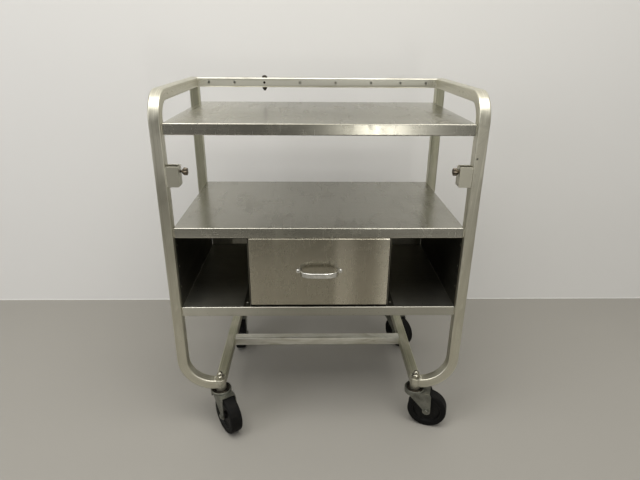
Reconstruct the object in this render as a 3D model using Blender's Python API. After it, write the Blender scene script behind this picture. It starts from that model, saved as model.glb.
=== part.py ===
"""Stainless steel instrument cart for an ECG recorder: bent square-tube frame, three shelves, a drawer
between two open bays, two accessory sockets with thumbscrews, and four swivel casters.

Units are metres. +Z is up, the drawer opens towards -Y, and the origin is at the middle of the footprint
on the floor.
"""

import math

import bmesh
import bpy
from mathutils import Matrix, Vector

X = Vector((1, 0, 0))
Y = Vector((0, 1, 0))
Z = Vector((0, 0, 1))
INCH = 0.0254
GAP = 0.0003  # between pieces that touch
SIDES = {"left": -1, "right": 1}

# Frame: 1 in square tube
TUBE = INCH
TUBE_WALL = 0.0015
TUBE_EDGE = 0.003
WIDTH = 0.7227
DEPTH = 16.5 * INCH
RAIL_TOP = 0.8666
BASE_Z = 5 * INCH  # centre line of the base tubes
TOP_BEND = 2 * INCH
BASE_BEND = 3 * INCH
BEND_STEPS = 6
STEM_X = 0.258
CROSSBAR_Y = 0.200

# Casters: 4 in wheels
WHEEL_R = 2 * INCH
WHEEL_W = 0.0314
SHOULDER_R = 0.0501
SHOULDER_W = 0.0286
TREAD_W = 0.023
TRAIL = 0.0367
TYRE_FACETS = 28
TYRE_BORE = 0.0383
HUB_R = 0.0380
AXLE_R = 0.0040
STEM_R = 0.00635
SLEEVE_R = 0.0145
SLEEVE_Z = (0.1086, 0.1405)
SLEEVE_FACETS = 16
PLATE_Z = (0.1030, 0.1055)  # top plate of the fork
CUP_R = 0.027
CUP_WALL = 0.003
CUP_TOP = 0.1100
LEG_IN = 0.0176
LEG_WALL = 0.0025
LEG_BOSS = 0.0105
SKIRT_LOW = 0.0960
YOKE_BACK = 0.041
TRAIL_DEGREES = {  # where each wheel trails at rest, turned from straight forwards towards +X
    ("front", "left"): 35.2,
    ("front", "right"): 71.4,
    ("rear", "left"): 5.0,
    ("rear", "right"): 35.0,
}

# Shelves: pans of folded sheet
SHEET = 0.0012
FOLD_R = 0.0022
SHELF_TOPS = {"top_shelf": 0.8003, "middle_shelf": 0.5639, "lower_shelf": 0.3564}
SHELF_FOLD = 0.0252
SHELF_Y = (0.006, 0.4090)  # measured from the front face of the posts, as every *_Y below
SHELF_HALF = WIDTH / 2 - TUBE - GAP

# Cabinet and drawer
PANEL_Y = (0.008, 0.4062)
PARTITION_X = 0.1675
PARTITION_FOOT = 0.018
FACE_HALF = 0.166
FACE_Z = (0.3625, 0.5375)
FACE_FOLD = 0.012
FACE_Y = 0.006
TRAY_HALF = 0.1555
TRAY_Z = (0.3725, 0.500)
TRAY_BACK = 0.380
SLIDE_Z = 0.441
RUNNER_HALF = 0.0165
SLIDE_HALF = 0.0135
PULL_Z = 0.4565
PULL_BAR = (0.005, 0.0125)
PULL_SPAN = 0.044
PULL_REACH = 0.030
PULL_SQUARENESS = 0.62  # 1 would bend the bar to half an ellipse
PULL_FOOT = 0.0485  # middle of each foot
PULL_FOOT_SIZE = (0.0125, 0.0025, 0.0105)
PULL_SCREW = 0.0024  # how far outwards from the middle of its foot each screw sits

# Accessory sockets and thumbscrews
SOCKET_X = 0.308
SOCKET_Z = (0.662, 0.708)
SOCKET_WALL = 0.0016
SOCKET_FOLD = 0.004
SCREW_Z = 0.695
SCREW_R = 0.003175
KNOB_R = 0.00875
KNOB_L = 0.012
KNOB_LOBES = 8
KNOB_GAP = {"left": 0.0055, "right": 0.0008}
SCREW_L = 0.0206
KNOB_FLOOR = 0.002  # end wall of the knob, past the shank

# Holes
RAIL_HOLES = (0.050, 0.150, 0.233, 0.305)
RAIL_HOLE_R = 0.00275
SIDE_RAIL_HOLES = {"left": (0.078, 0.119), "right": (0.137, 0.169)}
SIDE_HOLE_R = 0.0025
SMALL_HOLE_R = 0.002
POST_HOLE = (0.3425, 0.727)  # X and Z, in the front of the right post
SHELF_HOLE = (0.0057, 0.210)  # X and Y, in the top shelf
BOLT_X = -0.150
BOLT_R = 0.004
BOLT_L = 0.0352

POST_X = (WIDTH - TUBE) / 2
TOP_Z = RAIL_TOP - TUBE / 2
TUBE_Y = {"front": TUBE / 2, "rear": DEPTH - TUBE / 2}


def tyre_reach(degrees):
    """How far a tyre reaches along Y from its centre when it trails at this angle."""
    cos, sin = math.cos(math.radians(degrees)), math.sin(math.radians(degrees))
    profile = ((WHEEL_R, TREAD_W / 2), (SHOULDER_R, SHOULDER_W / 2), (0.0478, WHEEL_W / 2))
    return max(radius * cos + half * sin for radius, half in profile)


def wheel_y(row, degrees):
    """Y of a wheel's centre, from the front face of the posts."""
    return TUBE_Y[row] - TRAIL * math.cos(math.radians(degrees))


FRONT_REACH = min(wheel_y(row, turn) - tyre_reach(turn) for (row, _), turn in TRAIL_DEGREES.items())
REAR_REACH = TUBE_Y["rear"] + CUP_R  # the rear forks' cups reach further back than the wheels
FRONT_Y = -(FRONT_REACH + REAR_REACH) / 2  # the posts' front face, with the whole box centred on Y = 0


# --- Scene and materials ---------------------------------------------------------------------------


def material(name, colour, roughness, metallic):
    made = bpy.data.materials.new(name)
    made.use_nodes = True
    shader = made.node_tree.nodes["Principled BSDF"]
    shader.inputs["Base Color"].default_value = (*colour, 1)
    shader.inputs["Roughness"].default_value = roughness
    shader.inputs["Metallic"].default_value = metallic
    made.diffuse_color = (*colour, 1)
    return made


def add(name, mesh, finish, parent=None):
    """Puts a mesh in the scene as a named sub-part."""
    obj = bpy.data.objects.new(name, mesh)
    bpy.context.scene.collection.objects.link(obj)
    obj.parent = parent
    if not mesh.materials:
        mesh.materials.append(finish)
    return obj


def axis_empty(name, place, turn=None):
    """An empty on a joint's axis, for the pieces that move about it."""
    empty = bpy.data.objects.new(name, None)
    empty.location = place
    empty.empty_display_size = 0.02
    if turn:
        empty.rotation_euler = turn
    bpy.context.scene.collection.objects.link(empty)
    return empty


def cutter(name, bm, place=(0, 0, 0)):
    """A hidden helper that Boolean modifiers cut with."""
    obj = bpy.data.objects.new(name, finished(name, bm))
    bpy.context.scene.collection.objects.link(obj)
    obj.location = place
    obj.hide_render = True
    obj.display_type = "WIRE"
    return obj


def boolean(obj, other, operation="DIFFERENCE"):
    modifier = obj.modifiers.new(f"{operation.lower()}_{other.name}", "BOOLEAN")
    modifier.operation = operation
    modifier.object = other
    modifier.solver = "EXACT"
    return obj


def baked(obj):
    """The evaluated mesh of a prototype with modifiers, for pieces that share it."""
    bpy.context.view_layer.update()
    graph = bpy.context.evaluated_depsgraph_get()
    mesh = bpy.data.meshes.new_from_object(obj.evaluated_get(graph))
    mesh.name = obj.name
    bpy.data.objects.remove(obj)
    return mesh


# --- Shapes ----------------------------------------------------------------------------------------


def finished(name, bm, sharp_degrees=30):
    bmesh.ops.recalc_face_normals(bm, faces=bm.faces)
    mesh = bpy.data.meshes.new(name)
    bm.to_mesh(mesh)
    bm.free()
    mesh.shade_smooth()
    mesh.set_sharp_from_angle(angle=math.radians(sharp_degrees))
    return mesh


def skin(bm, first, second):
    """Quads between two loops of the same length."""
    for i in range(len(first)):
        j = (i + 1) % len(first)
        bm.faces.new((first[i], first[j], second[j], second[i]))


def loft(bm, loops, ring=False):
    """Joins loops of points in order, then closes the ends with flat faces, or joins them as a ring."""
    rows = [[bm.verts.new(point) for point in loop] for loop in loops]
    for first, second in zip(rows, rows[1:]):
        skin(bm, first, second)
    if ring:
        skin(bm, rows[-1], rows[0])
    else:
        bm.faces.new(rows[0])
        bm.faces.new(rows[-1])
    return bm


def circle(radius, height, count, phase=0.5, lobes=0, lobe_depth=0.0):
    """Points round Z. The middle of a side faces -Y, and lobes scallop the outline."""
    points = []
    for i in range(count):
        angle = math.tau * (i + phase) / count - math.pi / 2
        dip = lobe_depth * (1 - math.cos(lobes * angle)) / 2
        points.append(Vector(((radius - dip) * math.cos(angle), (radius - dip) * math.sin(angle), height)))
    return points


def polygon(across, height, sides, count):
    """A regular polygon with its points at even angles, so that it lofts onto a circle of the same count."""
    points = []
    for i in range(count):
        angle = math.tau * i / count
        nearest = round(angle * sides / math.tau) * math.tau / sides
        radius = across / 2 / math.cos(angle - nearest)
        points.append(Vector((radius * math.cos(angle), radius * math.sin(angle), height)))
    return points


def turned(profile, count, ring=False):
    """A turned shape from (radius, height) pairs."""
    return loft(bmesh.new(), [circle(r, h, count) for r, h in profile], ring)


def rod(radius, low, high, count):
    """A plain cylinder along Z."""
    return turned([(radius, low), (radius, high)], count)


def drill(radius, reach, place, axis, count=8):
    """A cylinder that cuts a hole through a wall, from a point in the wall out to both sides."""
    return lengthwise(rod(radius, -reach, reach, count), Vector(place), axis)


def lengthwise(bm, place, axis):
    """Turns a shape made along Z to lie along another axis, at a place."""
    bm.transform(Matrix.Translation(place) @ Z.rotation_difference(axis).to_matrix().to_4x4())
    return bm


def join(bm, other):
    """Adds one bmesh to another and frees it."""
    mesh = bpy.data.meshes.new("joined")
    other.to_mesh(mesh)
    other.free()
    bm.from_mesh(mesh)
    bpy.data.meshes.remove(mesh)
    return bm


def block(low, high):
    """A box between two corners."""
    low, high = Vector(low), Vector(high)
    middle, size = (low + high) / 2, high - low
    bm = bmesh.new()
    bmesh.ops.create_cube(bm, size=1, matrix=Matrix.Translation(middle) @ Matrix.Diagonal((*size, 1)))
    return bm


def prism(outline, along, start, end):
    """An outline of points, pushed from start to end along an axis."""
    return loft(bmesh.new(), [[point + along * distance for point in outline] for distance in (start, end)])


def rounded_square(size, radius, corner_steps=2):
    """Outline of a square with round corners, as (a, b) pairs."""
    points = []
    reach = size / 2 - radius
    for quarter in range(4):
        for step in range(corner_steps + 1):
            angle = math.pi / 2 * (quarter + step / corner_steps)
            corner = math.pi / 4 + math.pi / 2 * quarter
            points.append((
                math.copysign(reach, math.cos(corner)) + radius * math.cos(angle),
                math.copysign(reach, math.sin(corner)) + radius * math.sin(angle),
            ))
    return points


def straight(frames, length):
    """Carries a tube's path straight on."""
    place, forward, side = frames[-1]
    frames.append((place + forward * length, forward, side))


def bend(frames, radius, towards):
    """Carries a tube's path round a quarter turn towards a direction."""
    place, forward, side = frames[-1]
    centre = place + towards * radius
    axis = forward.cross(towards)
    for step in range(1, BEND_STEPS + 1):
        turn = Matrix.Rotation(math.pi / 2 * step / BEND_STEPS, 3, axis)
        frames.append((centre + turn @ (place - centre), turn @ forward, turn @ side))


def square_tube(frames, start_slant=0, end_slant=0):
    """An open-ended square tube along a path. A slant of 1 or -1 mitres an end at 45 degrees."""
    bm = bmesh.new()
    outlines = [rounded_square(TUBE - 2 * wall, TUBE_EDGE - wall) for wall in (0, TUBE_WALL)]
    slants = [start_slant] + [0] * (len(frames) - 2) + [end_slant]
    rings = []
    for (place, forward, side), slant in zip(frames, slants):
        up = forward.cross(side)
        rings.append([
            [bm.verts.new(place + side * a + up * b + forward * a * slant) for a, b in outline]
            for outline in outlines
        ])
    for (outer, inner), (next_outer, next_inner) in zip(rings, rings[1:]):
        skin(bm, outer, next_outer)
        skin(bm, inner, next_inner)
    for outer, inner in (rings[0], rings[-1]):
        skin(bm, outer, inner)
    return bm


def pan(name, low, high, open_side):
    """A folded sheet pan: the outline of a box with one open side and rounded folds."""
    bm = block(low, high)
    opening = max(bm.faces, key=lambda face: face.calc_center_median().dot(open_side))
    bmesh.ops.delete(bm, geom=[opening], context="FACES_ONLY")
    folds = [edge for edge in bm.edges if not edge.is_boundary]
    bmesh.ops.bevel(bm, geom=folds, offset=FOLD_R, segments=2, profile=0.5, affect="EDGES")
    return finished(name, bm)


def sheet_wall(obj, thickness=SHEET):
    """Gives an open outline its sheet thickness, measured inwards."""
    modifier = obj.modifiers.new("sheet", "SOLIDIFY")
    modifier.thickness = thickness
    modifier.offset = -1
    modifier.use_even_offset = True
    return obj


# --- Frame -----------------------------------------------------------------------------------------


def sleeve_cutters():
    """A round cutter at each caster sleeve, which copes the tubes that butt against it."""
    cutters = {}
    for row, y in TUBE_Y.items():
        for name, side in SIDES.items():
            bm = rod(SLEEVE_R + GAP, BASE_Z - TUBE, BASE_Z + TUBE, SLEEVE_FACETS)
            cutters[row, name] = cutter(f"{row}_{name}_cope", bm, (side * STEM_X, FRONT_Y + y, 0))
    return cutters


def front_tube(name, side, finish, cope):
    """Side rail, top bend, front post, base bend and base run, in one length of tube."""
    corner = Vector((side * POST_X, FRONT_Y + TUBE_Y["rear"] - GAP, TOP_Z))
    frames = [(corner, -Y, X * side)]
    straight(frames, TUBE_Y["rear"] - GAP - TUBE_Y["front"] - TOP_BEND)
    bend(frames, TOP_BEND, -Z)
    straight(frames, TOP_Z - TOP_BEND - BASE_Z - BASE_BEND)
    bend(frames, BASE_BEND, -X * side)
    straight(frames, POST_X - BASE_BEND - STEM_X)
    obj = add(f"{name}_front_tube", finished(f"{name}_front_tube", square_tube(frames, -1)), finish)
    boolean(obj, cope)
    holes = bmesh.new()
    for y in SIDE_RAIL_HOLES[name]:
        join(holes, drill(SIDE_HOLE_R, 2 * TUBE_WALL, (side * (POST_X - TUBE / 2), FRONT_Y + y, TOP_Z), X))
    if name == "right":
        x, z = POST_HOLE
        join(holes, drill(SMALL_HOLE_R, 2 * TUBE_WALL, (x, FRONT_Y, z), Y))
    boolean(obj, cutter(f"{name}_front_tube_drill", holes))


def rear_post(name, side, finish, cope):
    """Rear post, from under the corner of the rail down round the base bend to its caster sleeve."""
    top = Vector((side * POST_X, FRONT_Y + TUBE_Y["rear"], RAIL_TOP - TUBE - GAP))
    frames = [(top, -Z, X * side)]
    straight(frames, top.z - BASE_Z - BASE_BEND)
    bend(frames, BASE_BEND, -X * side)
    straight(frames, POST_X - BASE_BEND - STEM_X)
    boolean(add(f"{name}_rear_post", finished(f"{name}_rear_post", square_tube(frames)), finish), cope)


def rear_rail(finish):
    """Rear guard rail, mitred to both side rails, with its row of accessory holes and the bolt's hole."""
    y = FRONT_Y + TUBE_Y["rear"]
    frames = [(Vector((-POST_X, y, TOP_Z)), X, Y)]
    straight(frames, 2 * POST_X)
    obj = add("rear_rail", finished("rear_rail", square_tube(frames, -1, 1)), finish)
    holes = drill(BOLT_R + GAP, TUBE, (BOLT_X, y, TOP_Z), Z, 12)
    for x in RAIL_HOLES:
        for place in (-x, x):
            join(holes, drill(RAIL_HOLE_R, 2 * TUBE_WALL, (place, y - TUBE / 2, TOP_Z), Y))
    boolean(obj, cutter("rear_rail_drill", holes))


def rail_bolt(finish):
    """Carriage bolt down through the rear rail."""
    head = [(0.0015, 0.0060), (0.0045, 0.0052), (0.0068, 0.0030), (0.0076, 0.0004), (0.0076, 0.0)]
    bolt = turned([*head, (BOLT_R, 0.0), (BOLT_R, -BOLT_L + 0.0008), (BOLT_R - 0.0007, -BOLT_L)], 12)
    place = Vector((BOLT_X, FRONT_Y + TUBE_Y["rear"], RAIL_TOP + GAP))
    add("rail_bolt", finished("rail_bolt", lengthwise(bolt, place, Z)), finish)


def base_rail(name, side, finish, copes):
    """Front-to-back base tube between two caster sleeves."""
    start = FRONT_Y + TUBE + GAP
    frames = [(Vector((side * STEM_X, start, BASE_Z)), Y, X)]
    straight(frames, DEPTH - 2 * (TUBE + GAP))
    obj = add(f"{name}_base_rail", finished(f"{name}_base_rail", square_tube(frames)), finish)
    for cope in copes:
        boolean(obj, cope)


def base_crossbar(finish):
    """Bar between the two base rails."""
    half = STEM_X - TUBE / 2 - GAP
    frames = [(Vector((-half, FRONT_Y + CROSSBAR_Y + TUBE / 2, BASE_Z)), X, Y)]
    straight(frames, 2 * half)
    add("base_crossbar", finished("base_crossbar", square_tube(frames)), finish)


# --- Shelves and cabinet ---------------------------------------------------------------------------


def shelves(finish):
    """The three shelves, each a pan of folded sheet with its open side down."""
    front, back = (FRONT_Y + y for y in SHELF_Y)
    for name, top in SHELF_TOPS.items():
        low, high = (-SHELF_HALF, front, top - SHELF_FOLD), (SHELF_HALF, back, top)
        obj = sheet_wall(add(name, pan(name, low, high, -Z), finish))
        if name == "top_shelf":
            x, y = SHELF_HOLE
            boolean(obj, cutter("top_shelf_drill", drill(SMALL_HOLE_R, 2 * SHEET, (x, FRONT_Y + y, top), Z)))


def cabinet(finish):
    """Side panels, back panel and the two partitions, between the lower and the middle shelf."""
    low = SHELF_TOPS["lower_shelf"] + GAP
    high = SHELF_TOPS["middle_shelf"] - SHELF_FOLD - GAP
    front, back = (FRONT_Y + y for y in PANEL_Y)
    for name, side in SIDES.items():
        outer, inner = side * SHELF_HALF, side * (SHELF_HALF - SHEET)
        panel = block((min(outer, inner), front, low), (max(outer, inner), back, high))
        add(f"{name}_side_panel", finished(f"{name}_side_panel", panel), finish)
        web, foot = side * PARTITION_X, side * (PARTITION_X + PARTITION_FOOT)
        inside = web + side * SHEET
        outline = [
            (web, low), (foot, low), (foot, low + SHEET), (inside, low + SHEET),
            (inside, high - SHEET), (foot, high - SHEET), (foot, high), (web, high),
        ]
        partition = prism([Vector((x, 0, z)) for x, z in outline], Y, front, back)
        add(f"{name}_partition", finished(f"{name}_partition", partition), finish)
    half = SHELF_HALF - 2 * SHEET
    panel = block((-half, back + GAP, low), (half, back + GAP + SHEET, high))
    add("back_panel", finished("back_panel", panel), finish)


def channel(x_web, x_lip, z_half):
    """Outline of a U channel whose web is at x_web and whose lips end at x_lip."""
    inside = x_web + math.copysign(SHEET, x_lip - x_web)
    inner = z_half - SHEET
    outline = [(x_web, -z_half), (x_lip, -z_half), (x_lip, -inner), (inside, -inner)]
    outline += [(x, -z) for x, z in reversed(outline)]
    return [Vector((x, 0, SLIDE_Z + z)) for x, z in outline]


def drawer_runners(finish):
    """Fixed channels on the partitions, which carry the drawer's slides."""
    for name, side in SIDES.items():
        web, lip = side * (PARTITION_X - GAP), side * (TRAY_HALF + GAP + 0.0055)
        runner = prism(channel(web, lip, RUNNER_HALF), Y, FRONT_Y + 0.020, FRONT_Y + 0.392)
        add(f"{name}_runner", finished(f"{name}_runner", runner), finish)


# --- Drawer ----------------------------------------------------------------------------------------


def pull_bow(face_y):
    """The pull's bar, bent to a flattened arch that stands out from the drawer front."""
    steps = 12
    thick, tall = PULL_BAR
    section = rounded_square(1.0, 0.3, 1)
    power = 2 / PULL_SQUARENESS - 1
    loops = []
    for i in range(steps + 1):
        across = math.cos(math.pi * i / steps)
        out = math.sin(math.pi * i / steps)
        a = math.copysign(abs(across) ** PULL_SQUARENESS, across)
        b = max(out, 0.0) ** PULL_SQUARENESS
        place = Vector((PULL_SPAN * a, face_y - PULL_REACH * b, PULL_Z))
        normal = Vector((math.copysign(abs(a) ** power, a) / PULL_SPAN, -(b ** power) / PULL_REACH, 0))
        normal.normalize()
        loops.append([place + normal * u * thick + Z * v * tall for u, v in section])
    return loft(bmesh.new(), loops)


def drawer_pull(face_y, finish):
    """The pull on its two feet, and the drill for the screws that hold it."""
    pull = add("drawer_pull", finished("drawer_pull", pull_bow(face_y - 0.001)), finish)
    holes = bmesh.new()
    half = Vector(PULL_FOOT_SIZE) / 2
    for name, side in SIDES.items():
        foot = block(-half, half)
        uprights = [edge for edge in foot.edges if abs(edge.verts[0].co.y - edge.verts[1].co.y) > half.y]
        bmesh.ops.bevel(foot, geom=uprights, offset=0.003, segments=2, profile=0.5, affect="EDGES")
        bmesh.ops.translate(foot, verts=foot.verts, vec=(side * PULL_FOOT, face_y - half.y, PULL_Z))
        boolean(pull, cutter(f"{name}_foot", foot), "UNION")
        join(holes, drill(0.0018, 0.006, (side * (PULL_FOOT + PULL_SCREW), face_y, PULL_Z), Y, 12))
    drilled = cutter("pull_screw_drill", holes)
    boolean(pull, drilled)
    return baked(pull), drilled


def drawer(steel, plated):
    """Drawer front, tray, slides, pull and the pull's screws. It slides along -Y."""
    axis = axis_empty("drawer_slide_axis", (0, FRONT_Y, SLIDE_Z))

    def moved(mesh):
        mesh.transform(Matrix.Translation(-axis.location))
        return mesh

    front = FRONT_Y + FACE_Y
    low, high = (-FACE_HALF, front, FACE_Z[0]), (FACE_HALF, front + FACE_FOLD, FACE_Z[1])
    face = sheet_wall(add("drawer_front", moved(pan("drawer_front", low, high, Y)), steel, axis))
    low = (-TRAY_HALF, front + SHEET + GAP, TRAY_Z[0])
    high = (TRAY_HALF, FRONT_Y + TRAY_BACK, TRAY_Z[1])
    tray = sheet_wall(add("drawer_tray", moved(pan("drawer_tray", low, high, Z)), steel, axis))
    pull, drilled = drawer_pull(front - GAP, plated)
    add("drawer_handle", moved(pull), plated, axis)
    face_drill = cutter("drawer_front_drill", bmesh.new(), axis.location)
    face_drill.data = moved(drilled.data.copy())
    for obj in (face, tray):
        boolean(obj, face_drill)
    screw_head = [(0.0010, 0.0022), (0.0026, 0.0017), (0.0032, 0.0006), (0.0032, 0)]
    screw_profile = screw_head + [(0.0015, 0), (0.0015, -0.0085)]
    for name, side in SIDES.items():
        web, lip = side * (TRAY_HALF + GAP), side * (TRAY_HALF + 0.0095)
        slide = prism(channel(web, lip, SLIDE_HALF), Y, FRONT_Y + 0.022, FRONT_Y + 0.378)
        add(f"{name}_slide", moved(finished(f"{name}_slide", slide)), plated, axis)
        seat = Vector((side * (PULL_FOOT + PULL_SCREW), front - 2 * GAP - PULL_FOOT_SIZE[1], PULL_Z))
        screw = lengthwise(turned(screw_profile, 12), seat, -Y)
        add(f"{name}_pull_screw", moved(finished(f"{name}_pull_screw", screw)), plated, axis)


# --- Accessory sockets -----------------------------------------------------------------------------


def accessory_socket(name, side, finish):
    """Short upright tube on the inner face of a front post, open at the top, with a hole for its screw."""
    outer, inner = side * (POST_X - TUBE / 2 - GAP), side * SOCKET_X
    bm = block((min(outer, inner), FRONT_Y, SOCKET_Z[0]), (max(outer, inner), FRONT_Y + TUBE, SOCKET_Z[1]))
    opening = max(bm.faces, key=lambda face: face.calc_center_median().z)
    bmesh.ops.delete(bm, geom=[opening], context="FACES_ONLY")
    fold = [
        edge for edge in bm.edges
        if all(abs(v.co.x - inner) < 1e-5 and abs(v.co.z - SOCKET_Z[0]) < 1e-5 for v in edge.verts)
    ]
    bmesh.ops.bevel(bm, geom=fold, offset=SOCKET_FOLD, segments=4, profile=0.5, affect="EDGES")
    obj = sheet_wall(add(f"{name}_socket", finished(f"{name}_socket", bm), finish), SOCKET_WALL)
    hole = drill(SCREW_R + GAP, 2 * SOCKET_WALL, (inner, FRONT_Y + TUBE / 2, SCREW_Z), X, 16)
    boolean(obj, cutter(f"{name}_socket_drill", hole))


def thumbscrew(name, side, knob_finish, screw_finish):
    """A threaded shank with a scalloped knob. The shank points from the knob into its socket."""
    inwards = -X * side  # towards the middle of the cart, where the knob is
    place = Vector((side * (SOCKET_X - KNOB_GAP[name]), FRONT_Y + TUBE / 2, SCREW_Z))
    axis = axis_empty(f"{name}_thumbscrew_axis", place)
    head = KNOB_L - KNOB_FLOOR
    profile = [(SCREW_R, head), (SCREW_R, head - SCREW_L + 0.001), (0.0024, head - SCREW_L)]
    shank = lengthwise(turned(profile, 12), Vector(), inwards)
    add(f"{name}_thumbscrew", finished(f"{name}_thumbscrew", shank), screw_finish, axis)
    points = 4 * KNOB_LOBES
    collar = 0.0056
    loops = [circle(SCREW_R + GAP, h, points, 0) for h in (head + GAP, 0)]
    loops += [circle(collar, h, points, 0) for h in (0, 0.0020)]
    for radius, height in ((KNOB_R, 0.0035), (KNOB_R, 0.0100), (KNOB_R - 0.0010, KNOB_L - 0.0006)):
        loops.append(circle(radius, height, points, 0, lobes=KNOB_LOBES, lobe_depth=0.0016))
    loops.append(circle(collar, KNOB_L, points, 0))
    knob = lengthwise(loft(bmesh.new(), loops), Vector(), inwards)
    add(f"{name}_knob", finished(f"{name}_knob", knob, 40), knob_finish, axis)


# --- Casters ---------------------------------------------------------------------------------------


def arc(radius, start, end, steps):
    """Points of an arc in the XY plane, between two angles in degrees from +X."""
    angles = (math.radians(start + (end - start) * i / steps) for i in range(steps + 1))
    return [Vector((radius * math.cos(a), radius * math.sin(a), 0)) for a in angles]


def fork_mesh():
    """Pressed yoke: a top plate with a raised cup, a skirt round its nose and two tapered legs.

    The swivel axis is local Z, and the wheel trails along local -Y.
    """
    low, high = PLATE_Z
    lap = 0.0004  # how far joined shapes reach into each other
    inner = CUP_R - CUP_WALL
    half = LEG_IN + LEG_WALL
    outline = arc(CUP_R, -42, 222, 14) + [Vector((-half, -YOKE_BACK, 0)), Vector((half, -YOKE_BACK, 0))]
    fork = add("caster_fork", finished("caster_fork", prism(outline, Z, low, high)), None)
    cup = [(CUP_R, low + lap), (CUP_R - lap, CUP_TOP), (inner, CUP_TOP), (inner, low + lap)]
    boolean(fork, cutter("fork_cup", turned(cup, 20, ring=True)), "UNION")
    skirt = arc(CUP_R, 0, 180, 10) + arc(inner, 180, 0, 10)
    boolean(fork, cutter("fork_skirt", prism(skirt, Z, SKIRT_LOW, high - lap)), "UNION")
    boss = [(y - TRAIL, z + WHEEL_R) for y, z, _ in arc(LEG_BOSS, 22, -190, 8)]
    back_edge = [(-YOKE_BACK - 0.0045, 0.099), (-YOKE_BACK - 0.0005, high - lap)]
    top = back_edge + [(0.016, high - lap), (0.014, SKIRT_LOW)]
    leg = [Vector((0, y, z)) for y, z in boss + top]
    for name, side in SIDES.items():
        near, far = sorted((side * LEG_IN, side * half))
        boolean(fork, cutter(f"fork_{name}_leg", prism(leg, X, near, far)), "UNION")
    bores = rod(STEM_R + 2 * GAP, SKIRT_LOW, CUP_TOP + TUBE, 12)
    join(bores, drill(AXLE_R + GAP, 2 * half, (0, -TRAIL, WHEEL_R), X, 12))
    boolean(fork, cutter("fork_bores", bores))
    return baked(fork)


def tyre_mesh():
    """Solid tyre round local X. The flats of its facets are at the real radius, so it stands on one."""
    crown = 1 / math.cos(math.pi / TYRE_FACETS)
    half = [(TYRE_BORE, 0.0153), (0.0478, WHEEL_W / 2), (SHOULDER_R, SHOULDER_W / 2), (WHEEL_R, TREAD_W / 2)]
    profile = half + [(r, -w) for r, w in reversed(half)]
    bm = turned([(r * crown, w) for r, w in profile], TYRE_FACETS, ring=True)
    for axis in ("Y", "X"):
        bmesh.ops.rotate(bm, verts=bm.verts, matrix=Matrix.Rotation(math.pi / 2, 3, axis))
    return finished("caster_tyre", bm)


def hub_mesh():
    """Moulded wheel centre with a recessed web and a long boss, bored for the axle."""
    half = [(AXLE_R + GAP, 0.0171), (0.0095, 0.0171), (0.0105, 0.0090), (0.0335, 0.0085), (HUB_R, 0.0145)]
    profile = half + [(r, -w) for r, w in reversed(half)]
    return finished("caster_hub", lengthwise(turned(profile, 20, ring=True), Vector(), X))


def axle_mesh():
    """Axle bolt, with its head outside one leg and its nut outside the other."""
    outside = LEG_IN + LEG_WALL + GAP
    half = [(0.0050, outside + 0.0042), (0.0066, outside + 0.0032), (0.0066, outside), (AXLE_R, outside)]
    profile = half + [(r, -w) for r, w in reversed(half)]
    return finished("caster_axle", lengthwise(turned(profile, 12), Vector(), X))


def stem_mesh():
    """Threaded stem with its bearing race, fixed to the frame. Its lower head holds the fork up."""
    race_low, race_high = PLATE_Z[1] + GAP, SLEEVE_Z[0] - GAP
    under = PLATE_Z[0] - GAP
    tip = SLEEVE_Z[1] + 0.0120
    profile = [
        (0.0060, 0.0985), (0.0090, 0.0998), (0.0090, under), (STEM_R, under),
        (STEM_R, race_low), (0.0215, race_low), (0.0215, race_high - 0.0006), (0.0209, race_high),
        (STEM_R, race_high), (STEM_R, tip - 0.0010), (STEM_R - 0.001, tip),
    ]
    return finished("caster_stem", turned(profile, 12))


def sleeve_mesh():
    """Round sleeve of the frame, which the stem passes through."""
    low, high = SLEEVE_Z
    bore, edge = STEM_R + GAP, 0.0008
    profile = [
        (bore, low), (SLEEVE_R - edge, low), (SLEEVE_R, low + edge), (SLEEVE_R, high - edge),
        (SLEEVE_R - edge, high), (bore, high),
    ]
    return finished("caster_sleeve", turned(profile, SLEEVE_FACETS, ring=True))


def nut_mesh():
    """Acorn nut on top of the stem: a blind thread, a hexagon and a dome."""
    count = 12
    base = SLEEVE_Z[1] + GAP
    bore = STEM_R + GAP
    turns = [(0.0030, 0.0145), (bore, 0.0135), (bore, 0.0), (0.0093, 0.0)]
    loops = [circle(r, base + h, count, 0) for r, h in turns]
    loops += [polygon(0.0191, base + h, 6, count) for h in (0.0008, 0.0078)]
    loops.append(circle(0.0091, base + 0.0090, count, 0))
    dome_r, dome_low, dome_high = 0.0086, base + 0.0095, 0.0105
    for degrees in (20, 41, 61, 82):
        angle = math.radians(degrees)
        loops.append(circle(dome_r * math.cos(angle), dome_low + dome_high * math.sin(angle), count, 0))
    return finished("caster_nut", loft(bmesh.new(), loops))


def casters(finishes):
    """Four casters, each on its own swivel axis and wheel axis."""
    meshes = {
        "sleeve": (sleeve_mesh(), "steel"),
        "stem": (stem_mesh(), "dark_steel"),
        "nut": (nut_mesh(), "plated"),
        "fork": (fork_mesh(), "zinc"),
        "tyre": (tyre_mesh(), "rubber"),
        "hub": (hub_mesh(), "hub_plastic"),
        "axle": (axle_mesh(), "zinc"),
    }
    for mesh, finish in meshes.values():
        mesh.materials.clear()
        mesh.materials.append(finishes[finish])
    for (row, name), degrees in TRAIL_DEGREES.items():
        place = (SIDES[name] * STEM_X, FRONT_Y + TUBE_Y[row], 0)
        swivel = axis_empty(f"{row}_{name}_swivel_axis", place, (0, 0, math.radians(degrees)))
        spin = axis_empty(f"{row}_{name}_wheel_axis", (0, -TRAIL, WHEEL_R))
        spin.parent = swivel
        for piece, (mesh, _) in meshes.items():
            parent = spin if piece in ("tyre", "hub", "axle") else swivel
            obj = add(f"{row}_{name}_{piece}", mesh, None, parent)
            if piece in ("sleeve", "nut"):
                obj.rotation_euler = (0, 0, -math.radians(degrees))


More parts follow.
